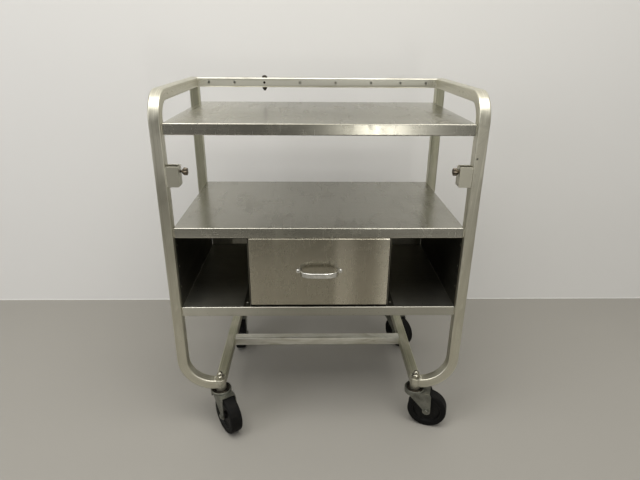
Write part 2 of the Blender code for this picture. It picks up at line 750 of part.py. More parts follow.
def main():
    for obj in list(bpy.data.objects):
        bpy.data.objects.remove(obj)
    finishes = {
        "steel": material("satin_stainless", (0.36, 0.35, 0.31), 0.38, 1.0),
        "tube": material("satin_tube", (0.42, 0.41, 0.35), 0.42, 1.0),
        "plated": material("bright_plate", (0.62, 0.62, 0.60), 0.18, 1.0),
        "zinc": material("dull_zinc", (0.22, 0.23, 0.21), 0.5, 0.9),
        "dark_steel": material("dark_race", (0.05, 0.05, 0.05), 0.5, 0.6),
        "rubber": material("black_rubber", (0.018, 0.017, 0.016), 0.6, 0.0),
        "hub_plastic": material("black_hub", (0.012, 0.012, 0.012), 0.4, 0.0),
        "knob": material("brown_knob", (0.10, 0.075, 0.06), 0.45, 0.3),
    }
    copes = sleeve_cutters()
    for name, side in SIDES.items():
        front_tube(name, side, finishes["tube"], copes["front", name])
        rear_post(name, side, finishes["tube"], copes["rear", name])
        base_rail(name, side, finishes["tube"], [copes["front", name], copes["rear", name]])
        accessory_socket(name, side, finishes["tube"])
        thumbscrew(name, side, finishes["knob"], finishes["dark_steel"])
    rear_rail(finishes["tube"])
    rail_bolt(finishes["dark_steel"])
    base_crossbar(finishes["tube"])
    shelves(finishes["steel"])
    cabinet(finishes["steel"])
    drawer_runners(finishes["plated"])
    drawer(finishes["steel"], finishes["plated"])
    casters(finishes)


main()
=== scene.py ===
"""Looks of a stainless steel instrument cart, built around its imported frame.

Each class below is one sub-assembly. It reads where its CAD nodes are, makes finer meshes in their place,
and dresses them in the finish that the real piece has. Lengths are metres unless a name ends in _mm.
"""

from __future__ import annotations

import logging
import math
from dataclasses import dataclass, field
from enum import Enum
from functools import partial
from typing import Any, Callable, Iterable, Sequence

import bmesh
import bpy
from mathutils import Matrix, Vector


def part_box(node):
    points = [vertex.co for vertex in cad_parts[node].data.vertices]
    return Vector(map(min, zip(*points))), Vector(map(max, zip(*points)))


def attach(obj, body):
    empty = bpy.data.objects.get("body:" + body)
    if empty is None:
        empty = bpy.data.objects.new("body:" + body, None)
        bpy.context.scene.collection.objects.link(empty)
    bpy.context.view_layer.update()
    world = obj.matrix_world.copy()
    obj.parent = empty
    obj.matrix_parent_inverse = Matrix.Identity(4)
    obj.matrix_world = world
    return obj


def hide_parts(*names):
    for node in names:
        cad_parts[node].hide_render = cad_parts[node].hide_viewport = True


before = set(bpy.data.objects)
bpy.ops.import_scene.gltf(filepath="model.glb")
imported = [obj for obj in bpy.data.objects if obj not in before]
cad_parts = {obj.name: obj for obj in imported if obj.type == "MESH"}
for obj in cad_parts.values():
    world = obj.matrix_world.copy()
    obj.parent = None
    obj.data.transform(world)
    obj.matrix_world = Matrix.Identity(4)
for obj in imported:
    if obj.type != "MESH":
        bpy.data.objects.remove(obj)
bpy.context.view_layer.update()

log = logging.getLogger("cart")
X, Y, Z = Vector((1, 0, 0)), Vector((0, 1, 0)), Vector((0, 0, 1))
SIDES = {"left": -1, "right": 1}
ROWS = ("front", "rear")
MM_PER_M = 1000.0


# --- Nodes -----------------------------------------------------------------------------------------


def linear(hex_code: str) -> tuple[float, float, float, float]:
    """Turns an sRGB hex colour into linear red, green, blue and alpha.

    Args:
        hex_code: six hex digits, such as "c0c0b4".

    Returns:
        The linear colour, with alpha 1.
    """
    parts = [int(hex_code[i : i + 2], 16) / 255 for i in (0, 2, 4)]
    red, green, blue = (v / 12.92 if v <= 0.04045 else ((v + 0.055) / 1.055) ** 2.4 for v in parts)
    return red, green, blue, 1.0


def add_node(
    tree: bpy.types.NodeTree, kind: str, wires: dict | None = None, **settings: Any
) -> bpy.types.Node:
    """Adds one node with its settings and links.

    Args:
        tree: the node tree that it goes into.
        kind: the node's type name.
        wires: input name or number, mapped to the socket or node that feeds it, or to its value.
        settings: the node's own properties.

    Returns:
        The new node.
    """
    node = tree.nodes.new(kind)
    for key, value in settings.items():
        setattr(node, key, value)
    for key, value in (wires or {}).items():
        source = value.outputs[0] if isinstance(value, bpy.types.Node) else value
        if isinstance(source, bpy.types.NodeSocket):
            tree.links.new(source, node.inputs[key])
        else:
            node.inputs[key].default_value = source
    return node


class Surface:
    """A material while it is being made: its node tree, its shader and the coordinates it reads."""

    def __init__(self, name: str, metallic: float, roughness: float, **sockets: float) -> None:
        """Starts the material.

        Args:
            name: the material's name.
            metallic: 1 for bare metal, 0 for anything else.
            roughness: roughness where no pattern sets it.
            sockets: other shader inputs by name, with underscores for spaces.
        """
        self.material = bpy.data.materials.new(name)
        self.material.use_nodes = True
        self.tree = self.material.node_tree
        self.shader = self.tree.nodes["Principled BSDF"]
        self.shader.inputs["Metallic"].default_value = metallic
        self.shader.inputs["Roughness"].default_value = roughness
        for key, value in sockets.items():
            self.shader.inputs[key.replace("_", " ").title()].default_value = value
        self.add = partial(add_node, self.tree)
        self.place = self.add("ShaderNodeTexCoord").outputs["Object"]

    def follow_path(self) -> None:
        """Reads coordinates along and around a swept tube, so that its grain turns with each bend."""
        marks = ("along", "around")
        along, around = (self.add("ShaderNodeAttribute", attribute_name=m).outputs["Fac"] for m in marks)
        self.place = self.add("ShaderNodeCombineXYZ", {0: along, 1: around}).outputs[0]

    def pattern(
        self,
        size_mm: Sequence[float],
        low: float,
        high: float,
        detail: float = 2.0,
        turn: Sequence[float] = (0, 0, 0),
        distortion: float = 0.0,
    ) -> bpy.types.NodeSocket:
        """Makes a soft random pattern.

        Args:
            size_mm: how long one patch is along X, Y and Z, in millimetres.
            low: noise level that becomes 0.
            high: noise level that becomes 1.
            detail: octaves of finer noise.
            turn: how the pattern is turned, in radians.
            distortion: how far the noise bends itself.

        Returns:
            A socket with values from 0 to 1.
        """
        scale = [MM_PER_M / size for size in size_mm]
        wires = {"Vector": self.place, "Rotation": turn, "Scale": scale}
        wires = {"Vector": self.add("ShaderNodeMapping", wires), "Scale": 1.0, "Detail": detail}
        noise = self.add("ShaderNodeTexNoise", {**wires, "Distortion": distortion})
        spread = self.add("ShaderNodeMapRange", {"Value": noise, "From Min": low, "From Max": high})
        return spread.outputs[0]

    def painted_reflections(self, stops: Sequence[tuple[float, str]]) -> bpy.types.NodeSocket:
        """Paints soft upright bands of colour: painted reflections, standing for the bright and dark
        surroundings that a bowed sheet reflects.

        Args:
            stops: (X in metres, hex colour) pairs, in order.

        Returns:
            A colour socket.
        """
        across = self.add("ShaderNodeSeparateXYZ", {0: self.place})
        first, last = stops[0][0], stops[-1][0]
        share = self.add("ShaderNodeMapRange", {"Value": across, "From Min": first, "From Max": last})
        ramp = self.add("ShaderNodeValToRGB", {0: share})
        ramp.color_ramp.interpolation = "B_SPLINE"
        steps = ramp.color_ramp.elements
        for number, (x, hex_code) in enumerate(stops):
            place = (x - first) / (last - first)
            step = steps[0] if number == 0 else steps[-1] if number == len(stops) - 1 else steps.new(place)
            step.position, step.color = place, linear(hex_code)
        return ramp.outputs[0]

    def colour(self, *layers: tuple[Any, bpy.types.NodeSocket | str], base: str) -> None:
        """Lays colours over a base colour.

        Args:
            layers: (mask, hex colour or colour socket) pairs, from the bottom up.
            base: hex colour under the layers.
        """
        under: Any = linear(base)
        for mask, over in layers:
            top = linear(over) if isinstance(over, str) else over
            under = self.add("ShaderNodeMix", {0: mask, 6: under, 7: top}, data_type="RGBA").outputs[2]
        self.tree.links.new(under, self.shader.inputs["Base Color"])

    def roughen(self, *layers: tuple[bpy.types.NodeSocket, float]) -> None:
        """Adds patterns to the roughness.

        Args:
            layers: (pattern, how much it adds at 1) pairs.
        """
        total: Any = self.shader.inputs["Roughness"].default_value
        for mask, amount in layers:
            wires = {0: mask, 1: amount, 2: total}
            total = self.add("ShaderNodeMath", wires, operation="MULTIPLY_ADD").outputs[0]
        self.tree.links.new(total, self.shader.inputs["Roughness"])

    def emboss(self, *layers: tuple[bpy.types.NodeSocket, float]) -> None:
        """Adds patterns to the surface's height.

        Args:
            layers: (pattern, height in millimetres at 1) pairs.
        """
        normal: Any = None
        for height, depth_mm in layers:
            wires = {"Height": height, "Distance": depth_mm / MM_PER_M, "Strength": 1.0}
            if normal is not None:
                wires["Normal"] = normal
            normal = self.add("ShaderNodeBump", wires).outputs[0]
        self.tree.links.new(normal, self.shader.inputs["Normal"])


# --- Finishes --------------------------------------------------------------------------------------


class Grain(Enum):
    """Which way a sheet was brushed: the length of a brush mark along X, Y and Z, in millimetres.

    Real marks are about 0.1 mm wide, too fine to show, so they are drawn 1.2 mm wide.
    """

    ACROSS = (160.0, 1.2, 1.2)
    FRONT_TO_BACK = (1.2, 160.0, 1.2)
    UPRIGHT = (1.2, 1.2, 160.0)


@dataclass(frozen=True)
class BrushedSheet:
    """Type 304 stainless sheet, brushed to a No. 4 finish.

    The brushing gives long soft streaks, handling gives cloudy smudges and a few crossing scratches, and
    folding leaves the sheet slightly uneven, which bends what it reflects. Upright bands of tone across X are
    painted reflections, and a darkening of the faces that look up is painted shade.
    """

    name: str
    grain: Grain
    base: str = "b6b4aa"
    dull: str = "9b988c"
    smear: str = "7f7c70"
    roughness: float = 0.22
    waviness_mm: float = 0.6
    smudges: float = 0.05
    haze: float = 0.10
    grain_mm: float = 0.006
    film: float = 0.26
    scratches: float = 0.35
    bright_scratch: str = "d9d8d0"
    dirt: str = "4d4a42"
    painted_shade_tone: str = "5b5950"
    painted_reflection_share: float = 0.72
    painted_reflections: tuple[tuple[float, str], ...] = ()  # X in metres and the painted tone there: painted reflections of bright and dark surroundings in a bowed sheet
    painted_shade_up: float = 0.0  # how far the faces that look up are darkened with painted shade

    def build(self) -> bpy.types.Material:
        """Returns the material."""
        made = Surface(self.name, 1.0, self.roughness)
        mark = self.grain.value
        fine = made.pattern(mark, 0.3, 0.7)
        streak = made.pattern([size * 5 for size in mark], 0.35, 0.65, detail=3)
        smudge = made.pattern((70, 90, 60), 0.46, 0.74, detail=5, distortion=0.8)
        cloud = made.pattern((150, 190, 200), 0.36, 0.66, detail=2, distortion=0.3)
        wipe = made.pattern((26, 150, 40), 0.52, 0.72, detail=4, turn=(0.1, 0.1, 0.9), distortion=0.4)
        scratch = made.pattern((1.3, 120, 40), 0.70, 0.80, detail=1, turn=(0.2, 0.3, 0.62))
        speck = made.pattern((3, 3, 3), 0.80, 0.84, detail=0)
        wave = made.pattern((190, 260, 300), 0.0, 1.0, detail=0)
        faint, haze, film = (
            made.add("ShaderNodeMath", {0: mask, 1: share}, operation="MULTIPLY").outputs[0]
            for mask, share in ((scratch, self.scratches), (cloud, self.haze), (smudge, self.film))
        )
        layers = [(streak, self.dull), (haze, self.smear), (film, self.dull)]
        layers += [(faint, self.bright_scratch), (speck, self.dirt)]
        # Painted reflections: upright bands of tone across X, standing for the bright and dark surroundings a
        # bowed sheet reflects.
        if self.painted_reflections:
            layers.insert(1, (self.painted_reflection_share, made.painted_reflections(self.painted_reflections)))
        # Painted shade: faces that look up are darkened towards a shade tone, for a shelf that sits in the
        # shade of the one above it.
        if self.painted_shade_up:
            facing = made.add("ShaderNodeNewGeometry").outputs["True Normal"]
            upward = made.add("ShaderNodeSeparateXYZ", {0: facing}).outputs[2]
            up_shade = {"Value": upward, "From Min": 0.6, "From Max": 0.95, "To Max": self.painted_shade_up}
            layers.append((made.add("ShaderNodeMapRange", up_shade).outputs[0], self.painted_shade_tone))
        made.colour(*layers, base=self.base)
        made.roughen((smudge, self.smudges), (wipe, 0.05), (fine, 0.04), (faint, 0.12))
        made.emboss((wave, self.waviness_mm), (fine, self.grain_mm), (faint, -0.01))
        return made.material


@dataclass(frozen=True)
class SatinTube:
    """Type 304 stainless square tube, belt sanded along its length.

    The belt leaves a dull satin with marks that follow each bend, and years of hands leave darker patches
    and small knocks.
    """

    name: str
    base: str = "dad7c8"
    dull: str = "c0bdad"
    patch: str = "c3c0b0"
    knock: str = "9b988a"
    roughness: float = 0.40

    def build(self) -> bpy.types.Material:
        """Returns the material."""
        made = Surface(self.name, 1.0, self.roughness)
        made.follow_path()
        fine = made.pattern((120, 0.9, 1), 0.3, 0.7)
        streak = made.pattern((340, 3.5, 1), 0.35, 0.65)
        patch = made.pattern((70, 40, 1), 0.42, 0.7, detail=4, distortion=0.8)
        knock = made.pattern((7, 4, 1), 0.74, 0.8, detail=1)
        made.colour((streak, self.dull), (patch, self.patch), (knock, self.knock), base=self.base)
        made.roughen((fine, 0.06), (patch, -0.1), (knock, -0.1))
        made.emboss((fine, 0.008), (knock, -0.05))
        return made.material


@dataclass(frozen=True)
class Plated:
    """Plated steel: bright chrome or nickel over polished steel, or dull zinc over a pressing.

    Plating is smooth with a slight orange peel. Handling leaves cloudy patches and pinprick pits.
    """

    name: str
    base: str
    dull: str
    roughness: float
    peel_mm: float = 0.02
    patch_mm: float = 14.0
    patchiness: float = 0.1

    def build(self) -> bpy.types.Material:
        """Returns the material."""
        made = Surface(self.name, 1.0, self.roughness)
        patch = made.pattern([self.patch_mm] * 3, 0.4, 0.7, detail=4, distortion=0.5)
        peel = made.pattern((2.5, 2.5, 2.5), 0.2, 0.8)
        pit = made.pattern((1.1, 1.1, 1.1), 0.72, 0.78, detail=0)
        made.colour((patch, self.dull), (pit, "3a3833"), base=self.base)
        made.roughen((patch, self.patchiness), (pit, 0.3))
        made.emboss((peel, self.peel_mm), (pit, -0.03))
        return made.material


@dataclass(frozen=True)
class BlackSteel:
    """Oil-blackened steel, as machined: nearly black, with brown tarnish where the oil has dried."""

    name: str
    base: str = "312f2a"
    tarnish: str = "40372d"
    roughness: float = 0.36

    def build(self) -> bpy.types.Material:
        """Returns the material."""
        made = Surface(self.name, 0.9, self.roughness)
        tarnish = made.pattern((7, 7, 7), 0.42, 0.66, detail=4)
        rub = made.pattern((3, 3, 1.5), 0.6, 0.74)
        tool_mark = made.pattern((0.8, 6, 0.8), 0.3, 0.7)
        made.colour((tarnish, self.tarnish), (rub, "8a857b"), base=self.base)
        made.roughen((tarnish, 0.16), (rub, -0.1))
        made.emboss((tool_mark, 0.02),)
        return made.material


@dataclass(frozen=True)
class VulcanisedRubber:
    """Solid black rubber, moulded and vulcanised: matt, faintly grained, with floor dust on its tread."""

    name: str
    base: str = "070706"
    dust: str = "171512"
    rubbed: str = "12110f"
    rubbing: float = 0.3

    def build(self) -> bpy.types.Material:
        """Returns the material."""
        made = Surface(self.name, 0.0, 0.62)
        made.shader.inputs["Specular IOR Level"].default_value = 0.15
        grain = made.pattern((1.2, 1.2, 1.2), 0.3, 0.7)
        scuff = made.pattern((22, 22, 9), 0.42, 0.8, detail=3)
        tread = made.add("ShaderNodeAttribute", attribute_name="tread").outputs["Fac"]
        rub, both = (
            made.add("ShaderNodeMath", {0: scuff, 1: share}, operation="MULTIPLY").outputs[0]
            for share in (self.rubbing, tread)
        )
        made.colour((rub, self.rubbed), (both, self.dust), base=self.base)
        made.roughen((scuff, 0.12), (grain, 0.05))
        made.emboss((grain, 0.03),)
        return made.material


@dataclass(frozen=True)
class MouldedNylon:
    """Black glass-filled nylon, injection moulded: a soft sheen over a fine grain, with pale rub marks."""

    name: str
    base: str = "080807"

    def build(self) -> bpy.types.Material:
        """Returns the material."""
        made = Surface(self.name, 0.0, 0.42)
        made.shader.inputs["Specular IOR Level"].default_value = 0.2
        grain = made.pattern((0.9, 0.9, 0.9), 0.3, 0.7)
        rub = made.pattern((9, 9, 9), 0.58, 0.75, detail=4)
        made.colour((rub, "1d1b18"), base=self.base)
        made.roughen((rub, 0.25), (grain, 0.06))
        made.emboss((grain, 0.03),)
        return made.material


# Painted reflections across X for the shelves: tones at X in metres, standing for the bright and dark
# surroundings that the tops and front edges reflect.
SHELF_PAINTED_REFLECTIONS = (
    (-0.336, "e8e6db"),
    (-0.230, "cccabf"),
    (-0.090, "97958a"),
    (0.050, "918f84"),
    (0.170, "a7a59a"),
    (0.336, "bfbdb2"),
)

MIDDLE_PAINTED_REFLECTIONS = (
    (-0.336, "e6e4d9"),
    (-0.230, "d6d4c9"),
    (-0.090, "a09e93"),
    (0.050, "98968b"),
    (0.170, "bcbaaf"),
    (0.336, "e0ded3"),
)

# Painted reflections across X for the drawer front: dark and light upright bands for the floor and room it
# reflects, with painted highlights at its folded side edges.
DRAWER_PAINTED_REFLECTIONS = (
    (-0.166, "b8b3a3"),
    (-0.150, "a9a494"),
    (-0.060, "a49f8f"),
    (0.015, "959080"),
    (0.034, "999484"),
    (0.046, "d4cebd"),
    (0.074, "c2bcab"),
    (0.094, "9c9686"),
    (0.128, "9b9585"),
    (0.146, "cbc6b5"),
    (0.166, "f0ebdb"),
)


class Palette:
    """Every finish on the cart, made once."""

    def __init__(self) -> None:
        """Makes the materials."""
        # The shelves and the drawer front carry painted reflection bands across X.
        self.shelf = BrushedSheet("brushed_stainless_shelf", Grain.ACROSS, painted_reflections=SHELF_PAINTED_REFLECTIONS).build()
        # The middle shelf's top carries painted shade, as it sits under the top shelf.
        self.middle_shelf = BrushedSheet(
            "brushed_stainless_middle", Grain.ACROSS, painted_reflections=MIDDLE_PAINTED_REFLECTIONS, painted_shade_up=0.42
        ).build()
        worn = BrushedSheet("brushed_stainless_worn", Grain.ACROSS, roughness=0.36, painted_reflections=SHELF_PAINTED_REFLECTIONS)
        self.worn_shelf = worn.build()
        # A darker copy of the shelf stainless for the side panels, back and partitions: painted shade for the
        # inside of the bays.
        self.panel = BrushedSheet(
            "brushed_stainless_panel_shaded", Grain.FRONT_TO_BACK, "6f6d63", "66645a", "5a584f", 0.36
        ).build()
        self.drawer = BrushedSheet(
            "brushed_stainless_drawer",
            Grain.UPRIGHT,
            "b0ab9c",
            "a6a192",
            "958f80",
            roughness=0.22,
            waviness_mm=0.8,
            smudges=0.07,
            haze=0.08,
            grain_mm=0.003,
            painted_reflections=DRAWER_PAINTED_REFLECTIONS,
        ).build()
        tray = BrushedSheet("brushed_stainless_tray", Grain.FRONT_TO_BACK, "a9a698", "8d8a7c", roughness=0.3)
        self.tray = tray.build()
        # The rear posts and base rails wear a darker copy of the tube finish, painted shade. The rear rail
        # and crossbar wear a lighter copy, painted light.
        self.tube = SatinTube("satin_stainless_tube").build()
        self.shaded_tube = SatinTube("satin_stainless_tube_shaded", "bebda6", "a5a490").build()
        self.lit_tube = SatinTube("satin_stainless_tube_lit", "f0efe6", "dad8cd").build()
        self.turned_steel = Plated("satin_stainless_turned", "cfccbe", "b0ad9d", 0.36, 0.01).build()
        self.chrome = Plated("chrome_plate_polished", "e2e2de", "bdbdb8", 0.07, 0.015, 10, 0.12).build()
        self.nut_plate = Plated("nickel_plate_bright", "a19e91", "767366", 0.12, 0.02, 8, 0.16).build()
        self.zinc = Plated("zinc_plate_dull", "8a8b83", "6c6c64", 0.38, 0.03, 26, 0.12).build()
        self.runner = Plated("zinc_plate_bright", "b9bbb8", "94958f", 0.28, 0.02, 20).build()
        self.black_steel = BlackSteel("blackened_steel").build()
        self.knob = BlackSteel("bronzed_steel_knob", "5d564c", "7d715f", 0.32).build()
        self.rubber = VulcanisedRubber("vulcanised_rubber_black").build()
        self.nylon = MouldedNylon("moulded_nylon_black").build()


# --- Mesh work -------------------------------------------------------------------------------------


def loft(loops: Sequence[Sequence[Vector]], ring: bool = False) -> bmesh.types.BMesh:
    """Joins loops of points with quads.

    Args:
        loops: rows of points, all of one length, in order.
        ring: whether the last row joins the first, in place of flat end faces.

    Returns:
        The closed shape.
    """
    bm = bmesh.new()
    rows = [[bm.verts.new(point) for point in loop] for loop in loops]
    pairs = list(zip(rows, rows[1:])) + ([(rows[-1], rows[0])] if ring else [])
    for first, second in pairs:
        for i in range(len(first)):
            j = (i + 1) % len(first)
            bm.faces.new((first[i], first[j], second[j], second[i]))
    if not ring:
        bm.faces.new(rows[0])
        bm.faces.new(rows[-1])
    return bm


def ring_of(reach: Callable[[float], float], height: float, count: int) -> list[Vector]:
    """Points round Z.

    Args:
        reach: gives the radius at an angle.
        height: Z of the points.
        count: number of points.

    Returns:
        The points.
    """
    turns = (math.tau * i / count for i in range(count))
    return [Vector((reach(a) * math.cos(a), reach(a) * math.sin(a), height)) for a in turns]


def circle(radius: float, height: float, count: int, lobes: int = 0, depth: float = 0.0) -> list[Vector]:
    """A circle round Z, or a scalloped one.

    Args:
        radius: largest radius.
        height: Z of the points.
        count: number of points.
        lobes: scallops in the outline.
        depth: how deep the scallops are.

    Returns:
        The points.
    """
    return ring_of(lambda angle: radius - depth * (1 - math.cos(lobes * angle)) / 2, height, count)


def hexagon(across: float, height: float, count: int) -> list[Vector]:
    """Points of a regular hexagon at even angles.

    Args:
        across: size across flats.
        height: Z of the points.
        count: number of points, a multiple of twelve.

    Returns:
        The points.
    """
    side = math.tau / 6
    return ring_of(lambda angle: across / 2 / math.cos(angle - round(angle / side) * side), height, count)


def turned(profile: Iterable[tuple[float, float]], count: int, ring: bool = False) -> bmesh.types.BMesh:
    """Turns (radius, height) pairs round Z.

    Args:
        profile: the outline.
        count: points round the shape.
        ring: whether the shape has a hole through it.

    Returns:
        The closed shape.
    """
    return loft([circle(radius, height, count) for radius, height in profile], ring)


def block(low: Vector, high: Vector) -> bmesh.types.BMesh:
    """A box between two corners.

    Args:
        low: lowest corner.
        high: highest corner.

    Returns:
        The box.
    """
    bm = bmesh.new()
    size = high - low
    place = Matrix.Translation((low + high) / 2) @ Matrix.Diagonal((*size, 1))
    bmesh.ops.create_cube(bm, size=1, matrix=place)
    return bm


def prism(outline: Sequence[Vector], axis: Vector, start: float, end: float) -> bmesh.types.BMesh:
    """Pushes an outline along an axis.

    Args:
        outline: points of a flat outline.
        axis: direction of the push.
        start: where it starts.
        end: where it ends.

    Returns:
        The closed shape.
    """
    return loft([[point + axis * step for point in outline] for step in (start, end)])


def arc(radius: float, start: float, end: float, steps: int) -> list[Vector]:
    """Points of an arc in the XY plane.

    Args:
        radius: radius of the arc.
        start: first angle from +X, in degrees.
        end: last angle, in degrees.
        steps: number of steps.

    Returns:
        The points.
    """
    angles = (math.radians(start + (end - start) * i / steps) for i in range(steps + 1))
    return [Vector((radius * math.cos(a), radius * math.sin(a), 0)) for a in angles]


def stem_line(node: str) -> Vector:
    """Returns the middle of a node's box, on the floor."""
    low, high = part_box(node)
    return Vector(((low.x + high.x) / 2, (low.y + high.y) / 2, 0))


def mirrored(half: Sequence[tuple[float, float]]) -> list[tuple[float, float]]:
    """Returns (radius, width) pairs followed by their mirror image."""
    return [*half, *((radius, -width) for radius, width in reversed(half))]


def aligned(bm: bmesh.types.BMesh, place: Vector, axis: Vector) -> bmesh.types.BMesh:
    """Lays a shape made round Z along another axis.

    Args:
        bm: the shape.
        place: where its origin goes.
        axis: where its Z goes.

    Returns:
        The same shape.
    """
    bm.transform(Matrix.Translation(place) @ Z.rotation_difference(axis).to_matrix().to_4x4())
    return bm


def gather(shapes: Iterable[bmesh.types.BMesh]) -> bmesh.types.BMesh:
    """Puts several shapes into one.

    Args:
        shapes: the shapes, which are freed.

    Returns:
        One shape with all of them.
    """
    whole = bmesh.new()
    for shape in shapes:
        carrier = bpy.data.meshes.new("carrier")
        shape.to_mesh(carrier)
        shape.free()
        whole.from_mesh(carrier)
        bpy.data.meshes.remove(carrier)
    return whole


def to_mesh(name: str, bm: bmesh.types.BMesh, sharp: float = 35.0) -> bpy.types.Mesh:
    """Turns a shape into a smooth-shaded mesh with its faces outwards.

    Args:
        name: the mesh's name.
        bm: the shape, which is freed.
        sharp: edges that turn more than this many degrees stay crisp.

    Returns:
        The mesh.
    """
    bmesh.ops.remove_doubles(bm, verts=bm.verts, dist=1e-6)
    bmesh.ops.recalc_face_normals(bm, faces=bm.faces)
    mesh = bpy.data.meshes.new(name)
    bm.to_mesh(mesh)
    bm.free()
    mesh.shade_smooth()
    mesh.set_sharp_from_angle(angle=math.radians(sharp))
    return mesh


def to_object(name: str, mesh: bpy.types.Mesh) -> bpy.types.Object:
    """Links a mesh to the scene at the origin.

    Args:
        name: the object's name.
        mesh: its mesh.

    Returns:
        The object.
    """
    obj = bpy.data.objects.new(name, mesh)
    bpy.context.scene.collection.objects.link(obj)
    return obj


def settle(obj: bpy.types.Object, sharp: float | None = 35.0) -> bpy.types.Object:
    """Applies an object's modifiers to its mesh.

    Args:
        obj: the object.
        sharp: edges that turn more than this many degrees stay crisp, or None to keep the shading.

    Returns:
        The same object, with a plain mesh.
    """
    bpy.context.view_layer.update()
    mesh = bpy.data.meshes.new_from_object(obj.evaluated_get(bpy.context.evaluated_depsgraph_get()))
    obj.modifiers.clear()
    obj.data = mesh
    if sharp is not None:
        mesh.shade_smooth()
        mesh.set_sharp_from_angle(angle=math.radians(sharp))
    return obj


def flatten_shading(obj: bpy.types.Object) -> None:
    """Keeps flat faces flat where they meet rounded edges, by weighting normals by face area."""
    modifier = obj.modifiers.new("flats", "WEIGHTED_NORMAL")
    modifier.keep_sharp = True
    settle(obj, None)


def combine(obj: bpy.types.Object, tools: Iterable[bmesh.types.BMesh], operation: str) -> bpy.types.Object:
    """Cuts shapes from an object or joins them to it.

    Args:
        obj: the object.
        tools: the shapes.
        operation: "DIFFERENCE" or "UNION".

    Returns:
        The same object.
    """
    helpers = []
    for number, shape in enumerate(tools):
        helper = to_object(f"{obj.name}_tool_{number}", to_mesh("tool", shape))
        modifier = obj.modifiers.new("combine", "BOOLEAN")
        modifier.operation = operation
        modifier.solver = "EXACT"
        modifier.object = helper
        helpers.append(helper)
    settle(obj)
    for helper in helpers:
        bpy.data.objects.remove(helper)
    return obj


def soften(obj: bpy.types.Object, width: float, segments: int = 2, limit: float = 40.0) -> bpy.types.Object:
    """Rounds the crisp edges of an object.

    Args:
        obj: the object.
        width: width of the rounding.
        segments: steps across it.
        limit: edges that turn less than this many degrees are left.

    Returns:
        The same object.
    """
    modifier = obj.modifiers.new("soften", "BEVEL")
    modifier.width = width
    modifier.segments = segments
    modifier.limit_method = "ANGLE"
    modifier.angle_limit = math.radians(limit)
    return settle(obj)


def register(
    obj: bpy.types.Object,
    material: bpy.types.Material,
    body: str,
    stands_for: Sequence[str] = (),
) -> bpy.types.Object:
    """Dresses a piece and ties it to the frame.

    Args:
        obj: the piece.
        material: its finish.
        body: CAD body that it rides on.
        stands_for: CAD nodes that it replaces.

    Returns:
        The piece.
    """
    flatten_shading(obj)
    obj.data.materials.clear()
    obj.data.materials.append(material)
    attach(obj, body)
    if stands_for:
        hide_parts(*stands_for)
    log.info("%s rides %s: %d faces", obj.name, body, len(obj.data.polygons))
    return obj


def dress_node(node: str, material: bpy.types.Material) -> None:
    """Gives a CAD node that stays in view its finish."""
    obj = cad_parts[node]
    obj.data.materials.clear()
    obj.data.materials.append(material)
    log.info("%s keeps its CAD shape", node)


# --- Geometry Nodes --------------------------------------------------------------------------------


